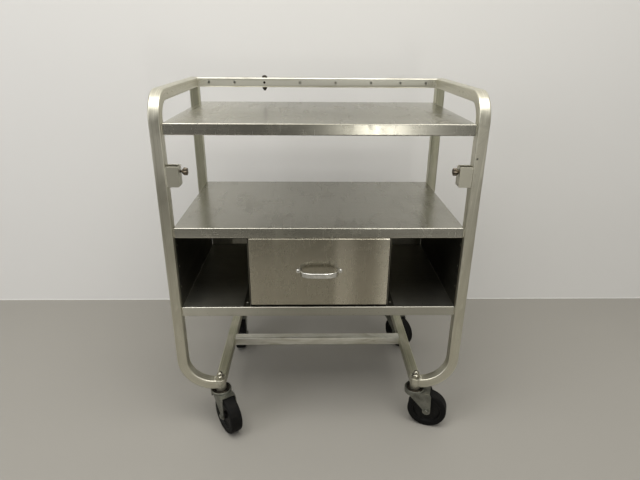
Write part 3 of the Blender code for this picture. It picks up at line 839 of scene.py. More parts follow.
class Workshop:
    """Geometry Nodes trees that sweep bars and repeat small shapes along paths."""

    def __init__(self) -> None:
        """Makes the trees."""
        self.tube = self._sweep_tree("sweep_square_tube", "MINIMUM_TWIST")
        self.flat_bar = self._sweep_tree("sweep_flat_bar", "Z_UP")
        self.bead = self._bead_tree()
        self.heads = self._heads_tree()

    @staticmethod
    def _new_tree(name: str, sizes: dict[str, float]) -> tuple[bpy.types.NodeTree, Any]:
        """Starts a tree.

        Args:
            name: the tree's name.
            sizes: input name mapped to its default, a whole number for a count or a seed.

        Returns:
            The tree, and its inputs by name.
        """
        tree = bpy.data.node_groups.new(name, "GeometryNodeTree")
        add = tree.interface.new_socket
        add("Geometry", in_out="INPUT", socket_type="NodeSocketGeometry")
        for key, value in sizes.items():
            kind = "NodeSocketInt" if isinstance(value, int) else "NodeSocketFloat"
            add(key, in_out="INPUT", socket_type=kind).default_value = value
        add("Finish", in_out="INPUT", socket_type="NodeSocketMaterial")
        add("Geometry", in_out="OUTPUT", socket_type="NodeSocketGeometry")
        return tree, add_node(tree, "NodeGroupInput").outputs

    @staticmethod
    def _end_tree(tree: bpy.types.NodeTree, entry: Any, geometry: bpy.types.Node) -> bpy.types.NodeTree:
        """Ends a tree with real geometry in one material.

        Args:
            tree: the tree.
            entry: its inputs.
            geometry: the node that has made it.

        Returns:
            The tree.
        """
        real = add_node(tree, "GeometryNodeRealizeInstances", {0: geometry})
        wires = {"Geometry": real, "Material": entry["Finish"]}
        add_node(tree, "NodeGroupOutput", {0: add_node(tree, "GeometryNodeSetMaterial", wires)})
        return tree

    def _sweep_tree(self, name: str, normals: str) -> bpy.types.NodeTree:
        """Sweeps a rounded rectangle along a path with rounded corners.

        The path's points carry bend, the corner's radius, and mitre_along and mitre_side, which slant an end.

        Args:
            name: the tree's name.
            normals: how the section is kept upright.

        Returns:
            The tree.
        """
        sizes = {"Width": 0.0254, "Height": 0.0254, "Corner": 0.003, "Corner Steps": 4, "Bend Steps": 14}
        tree, entry = self._new_tree(name, sizes)
        add = partial(add_node, tree)
        number = {"data_type": "FLOAT", "domain": "POINT"}
        vector = {"data_type": "FLOAT_VECTOR", "domain": "POINT"}
        path = add("GeometryNodeMeshToCurve", {0: entry["Geometry"]})
        bend = add("GeometryNodeInputNamedAttribute", {"Name": "bend"}, data_type="FLOAT")
        wires = {"Curve": path, "Radius": bend, "Count": entry["Bend Steps"]}
        rounded = add("GeometryNodeFilletCurve", wires, mode="POLY")
        upright = add("GeometryNodeSetCurveNormal", {"Curve": rounded}, mode=normals)
        where = add("GeometryNodeSplineParameter").outputs["Length"]
        wires = {"Geometry": upright, "Name": "along", "Value": where}
        marked = add("GeometryNodeStoreNamedAttribute", wires, **number)
        wires = {"Geometry": marked, "Name": "centre", "Value": add("GeometryNodeInputPosition")}
        centred = add("GeometryNodeStoreNamedAttribute", wires, **vector)
        wires = {"Width": entry["Width"], "Height": entry["Height"]}
        section = add("GeometryNodeCurvePrimitiveQuadrilateral", wires, mode="RECTANGLE")
        wires = {"Curve": section, "Radius": entry["Corner"], "Count": entry["Corner Steps"]}
        soft_section = add("GeometryNodeFilletCurve", wires, mode="POLY")
        where = add("GeometryNodeSplineParameter").outputs["Length"]
        wires = {"Geometry": soft_section, "Name": "around", "Value": where}
        profile = add("GeometryNodeStoreNamedAttribute", wires, **number)
        wires = {"Curve": centred, "Profile Curve": profile, "Fill Caps": True}
        swept = add("GeometryNodeCurveToMesh", wires)
        here = add("GeometryNodeInputPosition")
        centre, side, ahead = (
            add("GeometryNodeInputNamedAttribute", {"Name": mark}, data_type="FLOAT_VECTOR")
            for mark in ("centre", "mitre_side", "mitre_along")
        )
        out = add("ShaderNodeVectorMath", {0: here, 1: centre}, operation="SUBTRACT")
        reach = add("ShaderNodeVectorMath", {0: out, 1: side}, operation="DOT_PRODUCT").outputs["Value"]
        slant = add("ShaderNodeVectorMath", {0: ahead, "Scale": reach}, operation="SCALE")
        mitred = add("GeometryNodeSetPosition", {"Geometry": swept, "Offset": slant})
        return self._end_tree(tree, entry, mitred)

    def _bead_tree(self) -> bpy.types.NodeTree:
        """Lays a rippled weld bead along paths. Returns the tree."""
        tree, entry = self._new_tree("lay_weld_bead", {"Pitch": 0.0016, "Radius": 0.0013, "Seed": 7})
        add = partial(add_node, tree)
        path = add("GeometryNodeMeshToCurve", {0: entry["Geometry"]})
        stations = add("GeometryNodeResampleCurve", {"Curve": path, "Length": entry["Pitch"]}, mode="LENGTH")
        ripple = add("GeometryNodeMeshUVSphere", {"Segments": 8, "Rings": 5, "Radius": entry["Radius"]})
        smallest, largest = 0.75, 1.1
        wires = {2: smallest, 3: largest, 8: entry["Seed"]}
        size = add("FunctionNodeRandomValue", wires, data_type="FLOAT").outputs[1]
        laid = add("GeometryNodeInstanceOnPoints", {"Points": stations, "Instance": ripple, "Scale": size})
        return self._end_tree(tree, entry, laid)

    def _heads_tree(self) -> bpy.types.NodeTree:
        """Sets a domed rivet head on each point, facing along its own direction. Returns the tree."""
        tree, entry = self._new_tree("set_rivet_heads", {"Radius": 0.003, "Height": 0.4})
        add = partial(add_node, tree)
        dome = add("GeometryNodeMeshUVSphere", {"Segments": 16, "Rings": 8, "Radius": entry["Radius"]})
        flat = add("ShaderNodeCombineXYZ", {0: 1.0, 1: 1.0, 2: entry["Height"]})
        facing = add("GeometryNodeInputNamedAttribute", {"Name": "facing"}, data_type="FLOAT_VECTOR")
        turn = add("FunctionNodeAlignRotationToVector", {"Vector": facing}, axis="Z")
        wires = {"Points": entry["Geometry"], "Instance": dome, "Rotation": turn, "Scale": flat}
        return self._end_tree(tree, entry, add("GeometryNodeInstanceOnPoints", wires))

    @staticmethod
    def path(
        points: Sequence[Vector], closed: bool = False, marks: dict[str, Sequence[Any]] | None = None
    ) -> bpy.types.Mesh:
        """A path for a tree, as a line of edges.

        Args:
            points: the path's corners.
            closed: whether it joins its start.
            marks: attribute name mapped to one value, a number or a vector, for each point.

        Returns:
            The mesh of edges.
        """
        mesh = bpy.data.meshes.new("path")
        edges = [(i, i + 1) for i in range(len(points) - 1)]
        if closed:
            edges.append((len(points) - 1, 0))
        mesh.from_pydata([tuple(point) for point in points], edges, [])
        for key, values in (marks or {}).items():
            wide = isinstance(values[0], Vector)
            layer = mesh.attributes.new(key, "FLOAT_VECTOR" if wide else "FLOAT", "POINT")
            for item, value in zip(layer.data, values):
                if wide:
                    item.vector = value
                else:
                    item.value = value
        return mesh

    @staticmethod
    def run(
        tree: bpy.types.NodeTree,
        name: str,
        seed_mesh: bpy.types.Mesh,
        finish: bpy.types.Material,
        **values: Any,
    ) -> bpy.types.Object:
        """Runs a tree on a mesh and keeps the result as a plain mesh.

        Args:
            tree: the tree.
            name: the new object's name.
            seed_mesh: points and edges that the tree starts from.
            finish: the material that it sets.
            values: its other inputs, with underscores for spaces.

        Returns:
            An object at the origin.
        """
        obj = to_object(name, seed_mesh)
        modifier = obj.modifiers.new("tree", "NODES")
        modifier.node_group = tree
        wanted = {key.replace("_", " ").title(): value for key, value in values.items()}
        wanted["Finish"] = finish
        for item in tree.interface.items_tree:
            if item.in_out == "INPUT" and item.name in wanted:
                modifier[item.identifier] = wanted[item.name]
        settle(obj)
        obj.data.name = name
        return obj


# --- Frame -----------------------------------------------------------------------------------------


@dataclass
class TubeFrame:
    """The welded frame of square tube: two bent front tubes, rear posts, rear rail and base."""

    palette: Palette
    workshop: Workshop
    size: float = 0.0254
    corner: float = 0.003
    bead_r: float = 0.0011
    bead_pitch: float = 0.0017
    bead_sink: float = 0.0006
    top_bend: float = 0.0508
    base_bend: float = 0.0762
    bury: float = 0.006  # how near to a stem's centre a tube's end goes, inside its sleeve
    joint: float = 0.0128
    wall: float = 0.0015
    hole_depth: float = 0.009
    rail_hole_r: float = 0.0033
    side_hole_r: float = 0.0025
    post_hole_r: float = 0.002
    rail_holes: tuple[float, ...] = (0.050, 0.150, 0.233, 0.305)
    side_holes: dict[str, tuple[float, ...]] = field(
        default_factory=lambda: {"left": (0.078, 0.119), "right": (0.137, 0.169)}
    )
    post_hole: tuple[float, float] = (0.3425, 0.727)

    def __post_init__(self) -> None:
        """Reads the frame's lines from the CAD nodes."""
        low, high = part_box("right_front_tube")
        half = self.size / 2
        self.front = low.y
        self.post_x = high.x - half
        self.top_z = high.z - half
        self.front_y = low.y + half
        self.rear_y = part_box("rear_rail")[1].y - half
        low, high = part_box("front_right_sleeve")
        self.stem_x = (low.x + high.x) / 2
        self.sleeve_z = (low.z, high.z)
        self.sleeve_r = (high.x - low.x) / 2
        low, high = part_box("base_crossbar")
        self.base_z = (low.z + high.z) / 2
        self.cross_y = (low.y + high.y) / 2

    def _sweep(
        self,
        name: str,
        points: Sequence[Vector],
        bends: Sequence[float],
        mitres: dict[int, tuple[Vector, Vector]] | None = None,
    ) -> bpy.types.Object:
        """Sweeps the tube's section along a path.

        Args:
            name: the piece's name.
            points: corners of the path.
            bends: radius of the bend at each corner.
            mitres: point number mapped to the slant's direction and side.

        Returns:
            The tube.
        """
        along, side = [Vector()] * len(points), [Vector()] * len(points)
        for number, (ahead, out) in (mitres or {}).items():
            along[number], side[number] = ahead, out
        marks = {"bend": bends, "mitre_along": along, "mitre_side": side}
        path = self.workshop.path(points, marks=marks)
        sizes = {"width": self.size, "height": self.size, "corner": self.corner}
        return self.workshop.run(self.workshop.tube, name, path, self.palette.tube, **sizes)

    def _drill(self, radius: float, place: Vector, axis: Vector) -> bmesh.types.BMesh:
        """A cutter for a hole.

        Args:
            radius: the hole's radius.
            place: middle of its mouth.
            axis: direction out of the hole.

        Returns:
            The cutter.
        """
        return aligned(turned([(radius, -self.hole_depth), (radius, self.hole_depth)], 20), place, axis)

    def _pierce(
        self, tube: bpy.types.Object, start: Vector, end: Vector, drills: list[bmesh.types.BMesh]
    ) -> None:
        """Hollows a straight run of a tube and drills into it, so that each hole opens on the dark inside.

        Args:
            tube: the tube.
            start: where the hollow starts, on the tube's centre line.
            end: where it ends.
            drills: the holes' cutters.
        """
        half = self.size / 2 - self.wall
        inside = Vector(half if abs(a - b) < half else 0.0 for a, b in zip(start, end))
        low = Vector(map(min, start, end)) - inside
        high = Vector(map(max, start, end)) + inside
        combine(tube, [block(low, high), gather(drills)], "DIFFERENCE")

    def _front_tube(self, name: str, side: int) -> None:
        """Side rail, front post and base run in one bent tube.

        Args:
            name: "left" or "right".
            side: -1 or 1.
        """
        x = side * self.post_x
        points = [
            Vector((x, self.rear_y, self.top_z)),
            Vector((x, self.front_y, self.top_z)),
            Vector((x, self.front_y, self.base_z)),
            Vector((side * (self.stem_x + self.bury), self.front_y, self.base_z)),
        ]
        bends = [0, self.top_bend, self.base_bend, 0]
        tube = self._sweep(f"{name}_bent_tube", points, bends, {0: (Y, X * side)})
        face = side * (self.post_x - self.size / 2)
        drills = [
            self._drill(self.side_hole_r, Vector((face, self.front + y, self.top_z)), -X * side)
            for y in self.side_holes[name]
        ]
        reach = [self.front_y + self.top_bend + 0.003, self.rear_y - 0.04]
        self._pierce(tube, *(Vector((x, y, self.top_z)) for y in reach), drills)
        if name == "right":
            hole_x, hole_z = self.post_hole
            drill = self._drill(self.post_hole_r, Vector((hole_x, self.front, hole_z)), -Y)
            reach = [hole_z - 0.1, self.top_z - self.top_bend - 0.003]
            self._pierce(tube, *(Vector((x, self.front_y, z)) for z in reach), [drill])
        register(tube, self.palette.tube, "cart", [f"{name}_front_tube"])

    def _straight_tubes(self) -> None:
        """Rear posts, base rails, crossbar and rear rail."""
        half = self.size / 2
        under_rail = self.top_z - half
        for name, side in SIDES.items():
            x = side * self.post_x
            points = [
                Vector((x, self.rear_y, under_rail)),
                Vector((x, self.rear_y, self.base_z)),
                Vector((side * (self.stem_x + self.bury), self.rear_y, self.base_z)),
            ]
            # The rear posts and base rails are dressed in the darker tube copy, painted shade.
            post = self._sweep(f"{name}_rear_bent_post", points, [0, self.base_bend, 0])
            register(post, self.palette.shaded_tube, "cart", [f"{name}_rear_post"])
            ends = [self.front_y + self.joint, self.rear_y - self.joint]
            points = [Vector((side * self.stem_x, y, self.base_z)) for y in ends]
            rail = self._sweep(f"{name}_base_side_rail", points, [0, 0])
            register(rail, self.palette.shaded_tube, "cart", [f"{name}_base_rail"])
        # The crossbar and rear rail are dressed in the lighter tube copy, painted light.
        reach = self.stem_x - half
        points = [Vector((x, self.cross_y, self.base_z)) for x in (-reach, reach)]
        bar = self._sweep("base_cross_tube", points, [0, 0])
        register(bar, self.palette.lit_tube, "cart", ["base_crossbar"])
        points = [Vector((side * self.post_x, self.rear_y, self.top_z)) for side in SIDES.values()]
        rail = self._sweep("rear_guard_rail", points, [0, 0], {0: (-X, Y), 1: (X, Y)})
        face = self.rear_y - half
        drills = [
            self._drill(self.rail_hole_r, Vector((side * x, face, self.top_z)), -Y)
            for x in self.rail_holes
            for side in SIDES.values()
        ]
        reach = self.post_x - self.size
        self._pierce(rail, *(Vector((x, self.rear_y, self.top_z)) for x in (-reach, reach)), drills)
        register(rail, self.palette.lit_tube, "cart", ["rear_rail"])

    def _sleeves(self) -> None:
        """Round sleeves that the caster stems pass through."""
        low, high = self.sleeve_z
        edge, bore = 0.0010, 0.0066
        flat = self.sleeve_r - edge
        profile = [(bore, low), (flat, low)]
        profile += [(flat + edge * math.sin(a), low + edge * (1 - math.cos(a))) for a in (0.5, 1.0, 1.57)]
        profile += [(flat + edge * math.cos(a), high - edge * (1 - math.sin(a))) for a in (0.0, 0.5, 1.0)]
        profile += [(flat, high), (bore, high)]
        for row, y in zip(ROWS, (self.front_y, self.rear_y)):
            for name, side in SIDES.items():
                shape = aligned(turned(profile, 48, ring=True), Vector((side * self.stem_x, y, 0)), Z)
                sleeve = to_object(f"{row}_{name}_stem_sleeve", to_mesh("sleeve", shape))
                register(sleeve, self.palette.turned_steel, "cart", [f"{row}_{name}_sleeve"])

    def _square_loop(self, place: Vector, first: Vector, second: Vector, grow: float = 0.0) -> list[Vector]:
        """A loop round a tube.

        Args:
            place: middle of the loop.
            first: unit vector across the tube.
            second: unit vector across it the other way.
            grow: how far outside the tube the loop lies.

        Returns:
            The loop's corners.
        """
        cut = self.corner * 0.6
        half = self.size / 2 + grow
        corners = [(half, half - cut), (half - cut, half), (cut - half, half), (-half, half - cut)]
        corners += [(-half, cut - half), (cut - half, -half), (half - cut, -half), (half, cut - half)]
        return [place + first * a + second * b for a, b in corners]

    def _welds(self) -> None:
        """Rippled beads where tubes, sleeves and sockets meet."""
        loops: list[tuple[list[Vector], bool]] = []
        sink = -self.bead_sink
        half = self.size / 2
        shelf_bead = 0.018  # length of the bead where a shelf's edge meets a post
        for side in SIDES.values():
            for y in (self.front_y, self.rear_y):
                stem = Vector((side * self.stem_x, y, self.base_z))
                inward = Y if y == self.front_y else -Y
                loops.append((self._square_loop(stem + X * side * 0.0078, Y, Z, sink), True))
                loops.append((self._square_loop(stem + inward * 0.0130, X, Z, sink), True))
                round_x, round_y = side * (self.sleeve_r + 0.0002), self.sleeve_r
                turns = (-1.0, -0.5, 0.0, 0.5, 1.0)
                rim = [Vector((round_x * math.cos(a), round_y * math.sin(a), half)) for a in turns]
                loops.append(([stem + point for point in rim], False))
            cross = Vector((side * (self.stem_x - half), self.cross_y, self.base_z))
            loops.append((self._square_loop(cross, Y, Z, sink), True))
            post = Vector((side * self.post_x, self.rear_y, self.top_z - half))
            loops.append((self._square_loop(post, X, Y, sink), True))
            corner = Vector((side * self.post_x, self.rear_y, self.top_z))
            loops.append((self._square_loop(corner, X * side + Y, Z, sink), True))
            low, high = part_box("right_socket")
            seam_x = side * high.x
            for y in (low.y + 0.0004, high.y - 0.0004):
                loops.append(([Vector((seam_x, y, z)) for z in (low.z + 0.002, high.z - 0.002)], False))
            for shelf in ("top_shelf", "middle_shelf", "lower_shelf"):
                low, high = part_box(shelf)
                edge = Vector((side * (high.x + 0.0001), low.y + 0.0008, high.z - 0.004))
                loops.append(([edge, edge - Z * shelf_bead], False))
        shapes = []
        for number, (points, closed) in enumerate(loops):
            bead = self.workshop.run(
                self.workshop.bead,
                f"bead_{number}",
                self.workshop.path(points, closed),
                self.palette.turned_steel,
                radius=self.bead_r,
                pitch=self.bead_pitch,
                seed=number,
            )
            shape = bmesh.new()
            shape.from_mesh(bead.data)
            shapes.append(shape)
            bpy.data.objects.remove(bead)
        welds = to_object("frame_weld_beads", to_mesh("frame_weld_beads", gather(shapes), 60))
        register(welds, self.palette.turned_steel, "cart")

    def _rail_bolt(self) -> None:
        """Carriage bolt through the rear rail, with its washer and nut under the rail."""
        low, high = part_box("rail_bolt")
        place = stem_line("rail_bolt")
        seat, under = self.top_z + self.size / 2, self.top_z - self.size / 2
        shank, head_r, brim, pitch, thread = 0.0040, 0.0077, 0.0006, 0.00127, 0.0006
        rise = high.z - seat - brim
        angles = (1.45, 1.25, 1.0, 0.75, 0.5, 0.25, 0.0)
        profile = [(0.0004, high.z)]
        profile += [(head_r * math.cos(a), seat + brim + rise * math.sin(a)) for a in angles]
        profile += [(head_r, seat), (shank, seat)]
        steps = int((under - low.z) / pitch * 2)
        for step in range(steps + 1):
            fall = (under - low.z - 0.0004) * step / steps
            profile.append((shank - (step % 2) * thread, under - fall))
        profile.append((shank - 2 * thread, low.z))
        count = 48
        washer_in, washer_r, washer_t = 0.0043, 0.0074, 0.0010
        washer = [(washer_in, under - washer_t), (washer_r, under - washer_t), (washer_r, under)]
        nut_low, nut_high = under - 0.0058, under - 0.0011
        nut_bore, nut_face, flats, chamfer = 0.0042, 0.0054, 0.0112, 0.0006
        nut_loops = [circle(nut_bore, nut_high, count), circle(nut_face, nut_high, count)]
        nut_loops += [hexagon(flats, nut_high - chamfer, count), hexagon(flats, nut_low + chamfer, count)]
        nut_loops += [circle(nut_face, nut_low, count), circle(nut_bore, nut_low, count)]
        shapes = [turned(profile, 32), turned([*washer, (washer_in, under)], count, ring=True)]
        shapes.append(loft(nut_loops, ring=True))
        whole = gather(aligned(shape, place, Z) for shape in shapes)
        piece = to_object("rear_rail_bolt", to_mesh("rear_rail_bolt", whole))
        register(piece, self.palette.black_steel, "cart", ["rail_bolt"])

    def build(self) -> None:
        """Makes and dresses the whole frame."""
        for name, side in SIDES.items():
            self._front_tube(name, side)
        self._straight_tubes()
        self._sleeves()
        self._welds()
        self._rail_bolt()


# --- Sheet metal -----------------------------------------------------------------------------------


def folded_pan(
    low: Vector, high: Vector, open_side: Vector, fold_r: float, sheet: float, lip: float = 0.0
) -> bpy.types.Object:
    """A pan of folded sheet with rounded folds and an open side.

    Args:
        low: lowest corner.
        high: highest corner.
        open_side: direction of the open side.
        fold_r: outside radius of the folds.
        sheet: thickness of the sheet.
        lip: width of the edge that is turned in round the open side.

    Returns:
        The pan.
    """
    bm = block(low, high)
    opening = max(bm.faces, key=lambda f: f.calc_center_median().dot(open_side))
    if lip:
        bmesh.ops.inset_region(bm, faces=[opening], thickness=lip)
    bmesh.ops.delete(bm, geom=[opening], context="FACES_ONLY")
    folds = [edge for edge in bm.edges if len(edge.link_faces) == 2 and edge.calc_face_angle() > 1]
    bmesh.ops.bevel(bm, geom=folds, offset=fold_r, segments=4, profile=0.5, affect="EDGES")
    obj = to_object("pan", to_mesh("pan", bm, 40))
    wall = obj.modifiers.new("sheet", "SOLIDIFY")
    wall.thickness = sheet
    wall.offset = -1
    wall.use_even_offset = True
    return settle(obj, 40)


@dataclass
class Shelves:
    """Three shelves of folded sheet, with their front edges down and a hem turned in underneath."""

    palette: Palette
    sheet: float = 0.0012
    fold_r: float = 0.0024
    hem: float = 0.011
    hole: tuple[float, float] = (0.0057, 0.210)
    hole_r: float = 0.002

    def build(self) -> None:
        """Makes and dresses the shelves."""
        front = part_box("left_front_tube")[0].y
        finishes = {
            "top_shelf": self.palette.shelf,
            "middle_shelf": self.palette.middle_shelf,
            "lower_shelf": self.palette.worn_shelf,
        }
        for node in finishes:
            low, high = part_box(node)
            shelf = folded_pan(low, high, -Z, self.fold_r, self.sheet, self.hem)
            shelf.name = f"{node}_pan"
            if node == "top_shelf":
                x, y = self.hole
                cut = turned([(self.hole_r, high.z - 0.01), (self.hole_r, high.z + 0.01)], 20)
                combine(shelf, [aligned(cut, Vector((x, front + y, 0)), Z)], "DIFFERENCE")
            register(shelf, finishes[node], "cart", [node])


@dataclass
class Cabinet:
    """Side panels, back and partitions of the bays, with the rivets that hold them."""

    palette: Palette
    workshop: Workshop
    rivet_r: float = 0.0024
    rivet_inset: float = 0.011
    clip: tuple[float, float] = (0.034, 0.0125)  # width and height of the tab beside the drawer
    sheet: float = 0.0012
    lap: float = 0.00032

    def build(self) -> None:
        """Makes and dresses the cabinet."""
        for name in SIDES:
            for node in (f"{name}_side_panel", f"{name}_partition"):
                self._panel(node)
            dress_node(f"{name}_runner", self.palette.runner)
        self._panel("back_panel")
        self._rivets()
        self._clip()

    def _panel(self, node: str) -> None:
        """A sheet that meets the shelves above and below it, in place of the CAD's running gap.

        Args:
            node: the CAD node that it stands for.
        """
        low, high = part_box(node)
        bm = bmesh.new()
        bm.from_mesh(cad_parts[node].data)
        bm.transform(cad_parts[node].matrix_world)
        bmesh.ops.remove_doubles(bm, verts=bm.verts, dist=1e-6)
        for vertex in bm.verts:
            for axis in range(3):
                for edge, sign in ((low, -1), (high, 1)):
                    if abs(vertex.co[axis] - edge[axis]) < 1e-5:
                        vertex.co[axis] += sign * self.lap
        panel = to_object(f"{node}_sheet", to_mesh(node, bm))
        # Dressed in the darker panel finish, painted shade.
        register(panel, self.palette.panel, "cart", [node])

    def _rivets(self) -> None:
        """Rivets along the front and back edges of the side panels and partitions' feet."""
        points, facing = [], []
        dome = 0.45  # how tall a head is for its radius
        for name, side in SIDES.items():
            low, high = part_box(f"{name}_side_panel")
            inner = low.x if side > 0 else high.x
            for y in (low.y + self.rivet_inset, high.y - self.rivet_inset):
                for share in (0.12, 0.42, 0.72):
                    points.append(Vector((inner, y, high.z - (high.z - low.z) * share)))
                    facing.append(-X * side)
            low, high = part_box(f"{name}_partition")
            middle = side * (abs(low.x + high.x) / 2 + self.sheet)
            for share in (0.05, 0.5, 0.95):
                points.append(Vector((middle, low.y + (high.y - low.y) * share, low.z + self.sheet)))
                facing.append(Z)
        seed = self.workshop.path(points, marks={"facing": facing})
        finish = self.palette.turned_steel
        rivets = self.workshop.run(
            self.workshop.heads, "bay_rivets", seed, finish, radius=self.rivet_r, height=dome
        )
        register(rivets, finish, "cart")

    def _clip(self) -> None:
        """Folded tab at the top of the left partition's front edge."""
        low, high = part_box("left_partition")
        width, height = self.clip
        corner = Vector((high.x - width, low.y - 0.0016, high.z - height))
        shape = block(corner, corner + Vector((width, self.sheet, height)))
        tab = to_object("left_partition_tab", to_mesh("tab", shape))
        soften(tab, 0.0005)
        # The tab wears the darker panel finish, painted shade.
        register(tab, self.palette.panel, "cart")


# --- Drawer ----------------------------------------------------------------------------------------


@dataclass
class Drawer:
    """Drawer front, tray, slides and pull, all on the sliding body."""

    palette: Palette
    workshop: Workshop
    sheet: float = 0.0012
    fold_r: float = 0.0022
    bar: tuple[float, float] = (0.005, 0.0125)
    bar_corner: float = 0.0017
    span: float = 0.044
    reach: float = 0.030
    squareness: float = 0.62
    foot: tuple[float, float, float] = (0.0125, 0.0025, 0.0105)
    foot_corner: float = 0.0030
    foot_x: float = 0.0485
    head_r: float = 0.0033
    screw_r: float = 0.0015
    screw_x: float = 0.0509

    def build(self) -> None:
        """Makes and dresses the drawer."""
        low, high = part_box("drawer_front")
        face = folded_pan(low, high, Y, self.fold_r, self.sheet)
        face.name = "drawer_face"
        register(face, self.palette.drawer, "drawer", ["drawer_front"])
        low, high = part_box("drawer_tray")
        tray = folded_pan(low, high, Z, self.fold_r, self.sheet)
        tray.name = "drawer_box"
        register(tray, self.palette.tray, "drawer", ["drawer_tray"])
        for name in SIDES:
            dress_node(f"{name}_slide", self.palette.runner)
        self._pull()
        self._screws()

    def _pull(self) -> None:
        """The pull's arched bar on its two feet."""
        low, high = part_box("drawer_handle")
        face_y, middle_z = high.y, (low.z + high.z) / 2
        steps = 48
        sink = 0.001  # how far the bar's ends go into the feet
        points = []
        for i in range(steps + 1):
            angle = math.pi * i / steps
            across, out = math.cos(angle), max(math.sin(angle), 0.0)
            x = self.span * math.copysign(abs(across) ** self.squareness, across)
            points.append(Vector((x, face_y - sink - self.reach * out**self.squareness, middle_z)))
        thick, tall = self.bar
        zeros = [Vector()] * len(points)
        marks = {"bend": [0.0] * len(points), "mitre_along": zeros, "mitre_side": zeros}
        bow = self.workshop.run(
            self.workshop.flat_bar,
            "drawer_pull",
            self.workshop.path(points, marks=marks),
            self.palette.chrome,
            width=thick,
            height=tall,
            corner=self.bar_corner,
        )
        feet = []
        half = Vector(self.foot) / 2
        for side in SIDES.values():
            foot = block(-half, half)
            corners = [e for e in foot.edges if abs(e.verts[0].co.y - e.verts[1].co.y) > half.y]
            bmesh.ops.bevel(
                foot, geom=corners, offset=self.foot_corner, segments=6, profile=0.5, affect="EDGES"
            )
            feet.append(aligned(foot, Vector((side * self.foot_x, face_y - half.y, middle_z)), Z))
        combine(bow, feet, "UNION")
        soften(bow, 0.0006, 2, 50)
        register(bow, self.palette.chrome, "drawer", ["drawer_handle"])

    def _screws(self) -> None:
        """Cross-headed screws in the pull's feet."""
        low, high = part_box("left_pull_screw")
        place_z = (low.z + high.z) / 2
        head_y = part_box("drawer_handle")[1].y - self.foot[1]
        brim, rise, tip = 0.0003, 0.0019, -0.0085
        angles = (1.5, 1.2, 0.8, 0.4, 0.0)
        profile = [(self.head_r * math.cos(a), brim + rise * math.sin(a)) for a in angles]
        profile += [(self.head_r, 0.0), (self.screw_r, 0.0), (self.screw_r, tip)]
        shapes, crosses = [], []
        for side in SIDES.values():
            at = Vector((side * self.screw_x, head_y, place_z))
            shapes.append(aligned(turned(profile, 24), at, -Y))
            for turn in (0.3, 0.3 + math.pi / 2):
                slot = block(Vector((-0.0019, -0.0004, 0.0009)), Vector((0.0019, 0.0004, 0.004)))
                slot.transform(Matrix.Rotation(turn + side * 0.4, 4, "Z"))
                crosses.append(aligned(slot, at, -Y))
        screws = to_object("pull_foot_screws", to_mesh("pull_foot_screws", gather(shapes)))
        combine(screws, crosses, "DIFFERENCE")
        nodes = ["left_pull_screw", "right_pull_screw"]
        register(screws, self.palette.chrome, "drawer", nodes)


# --- Accessory sockets -----------------------------------------------------------------------------


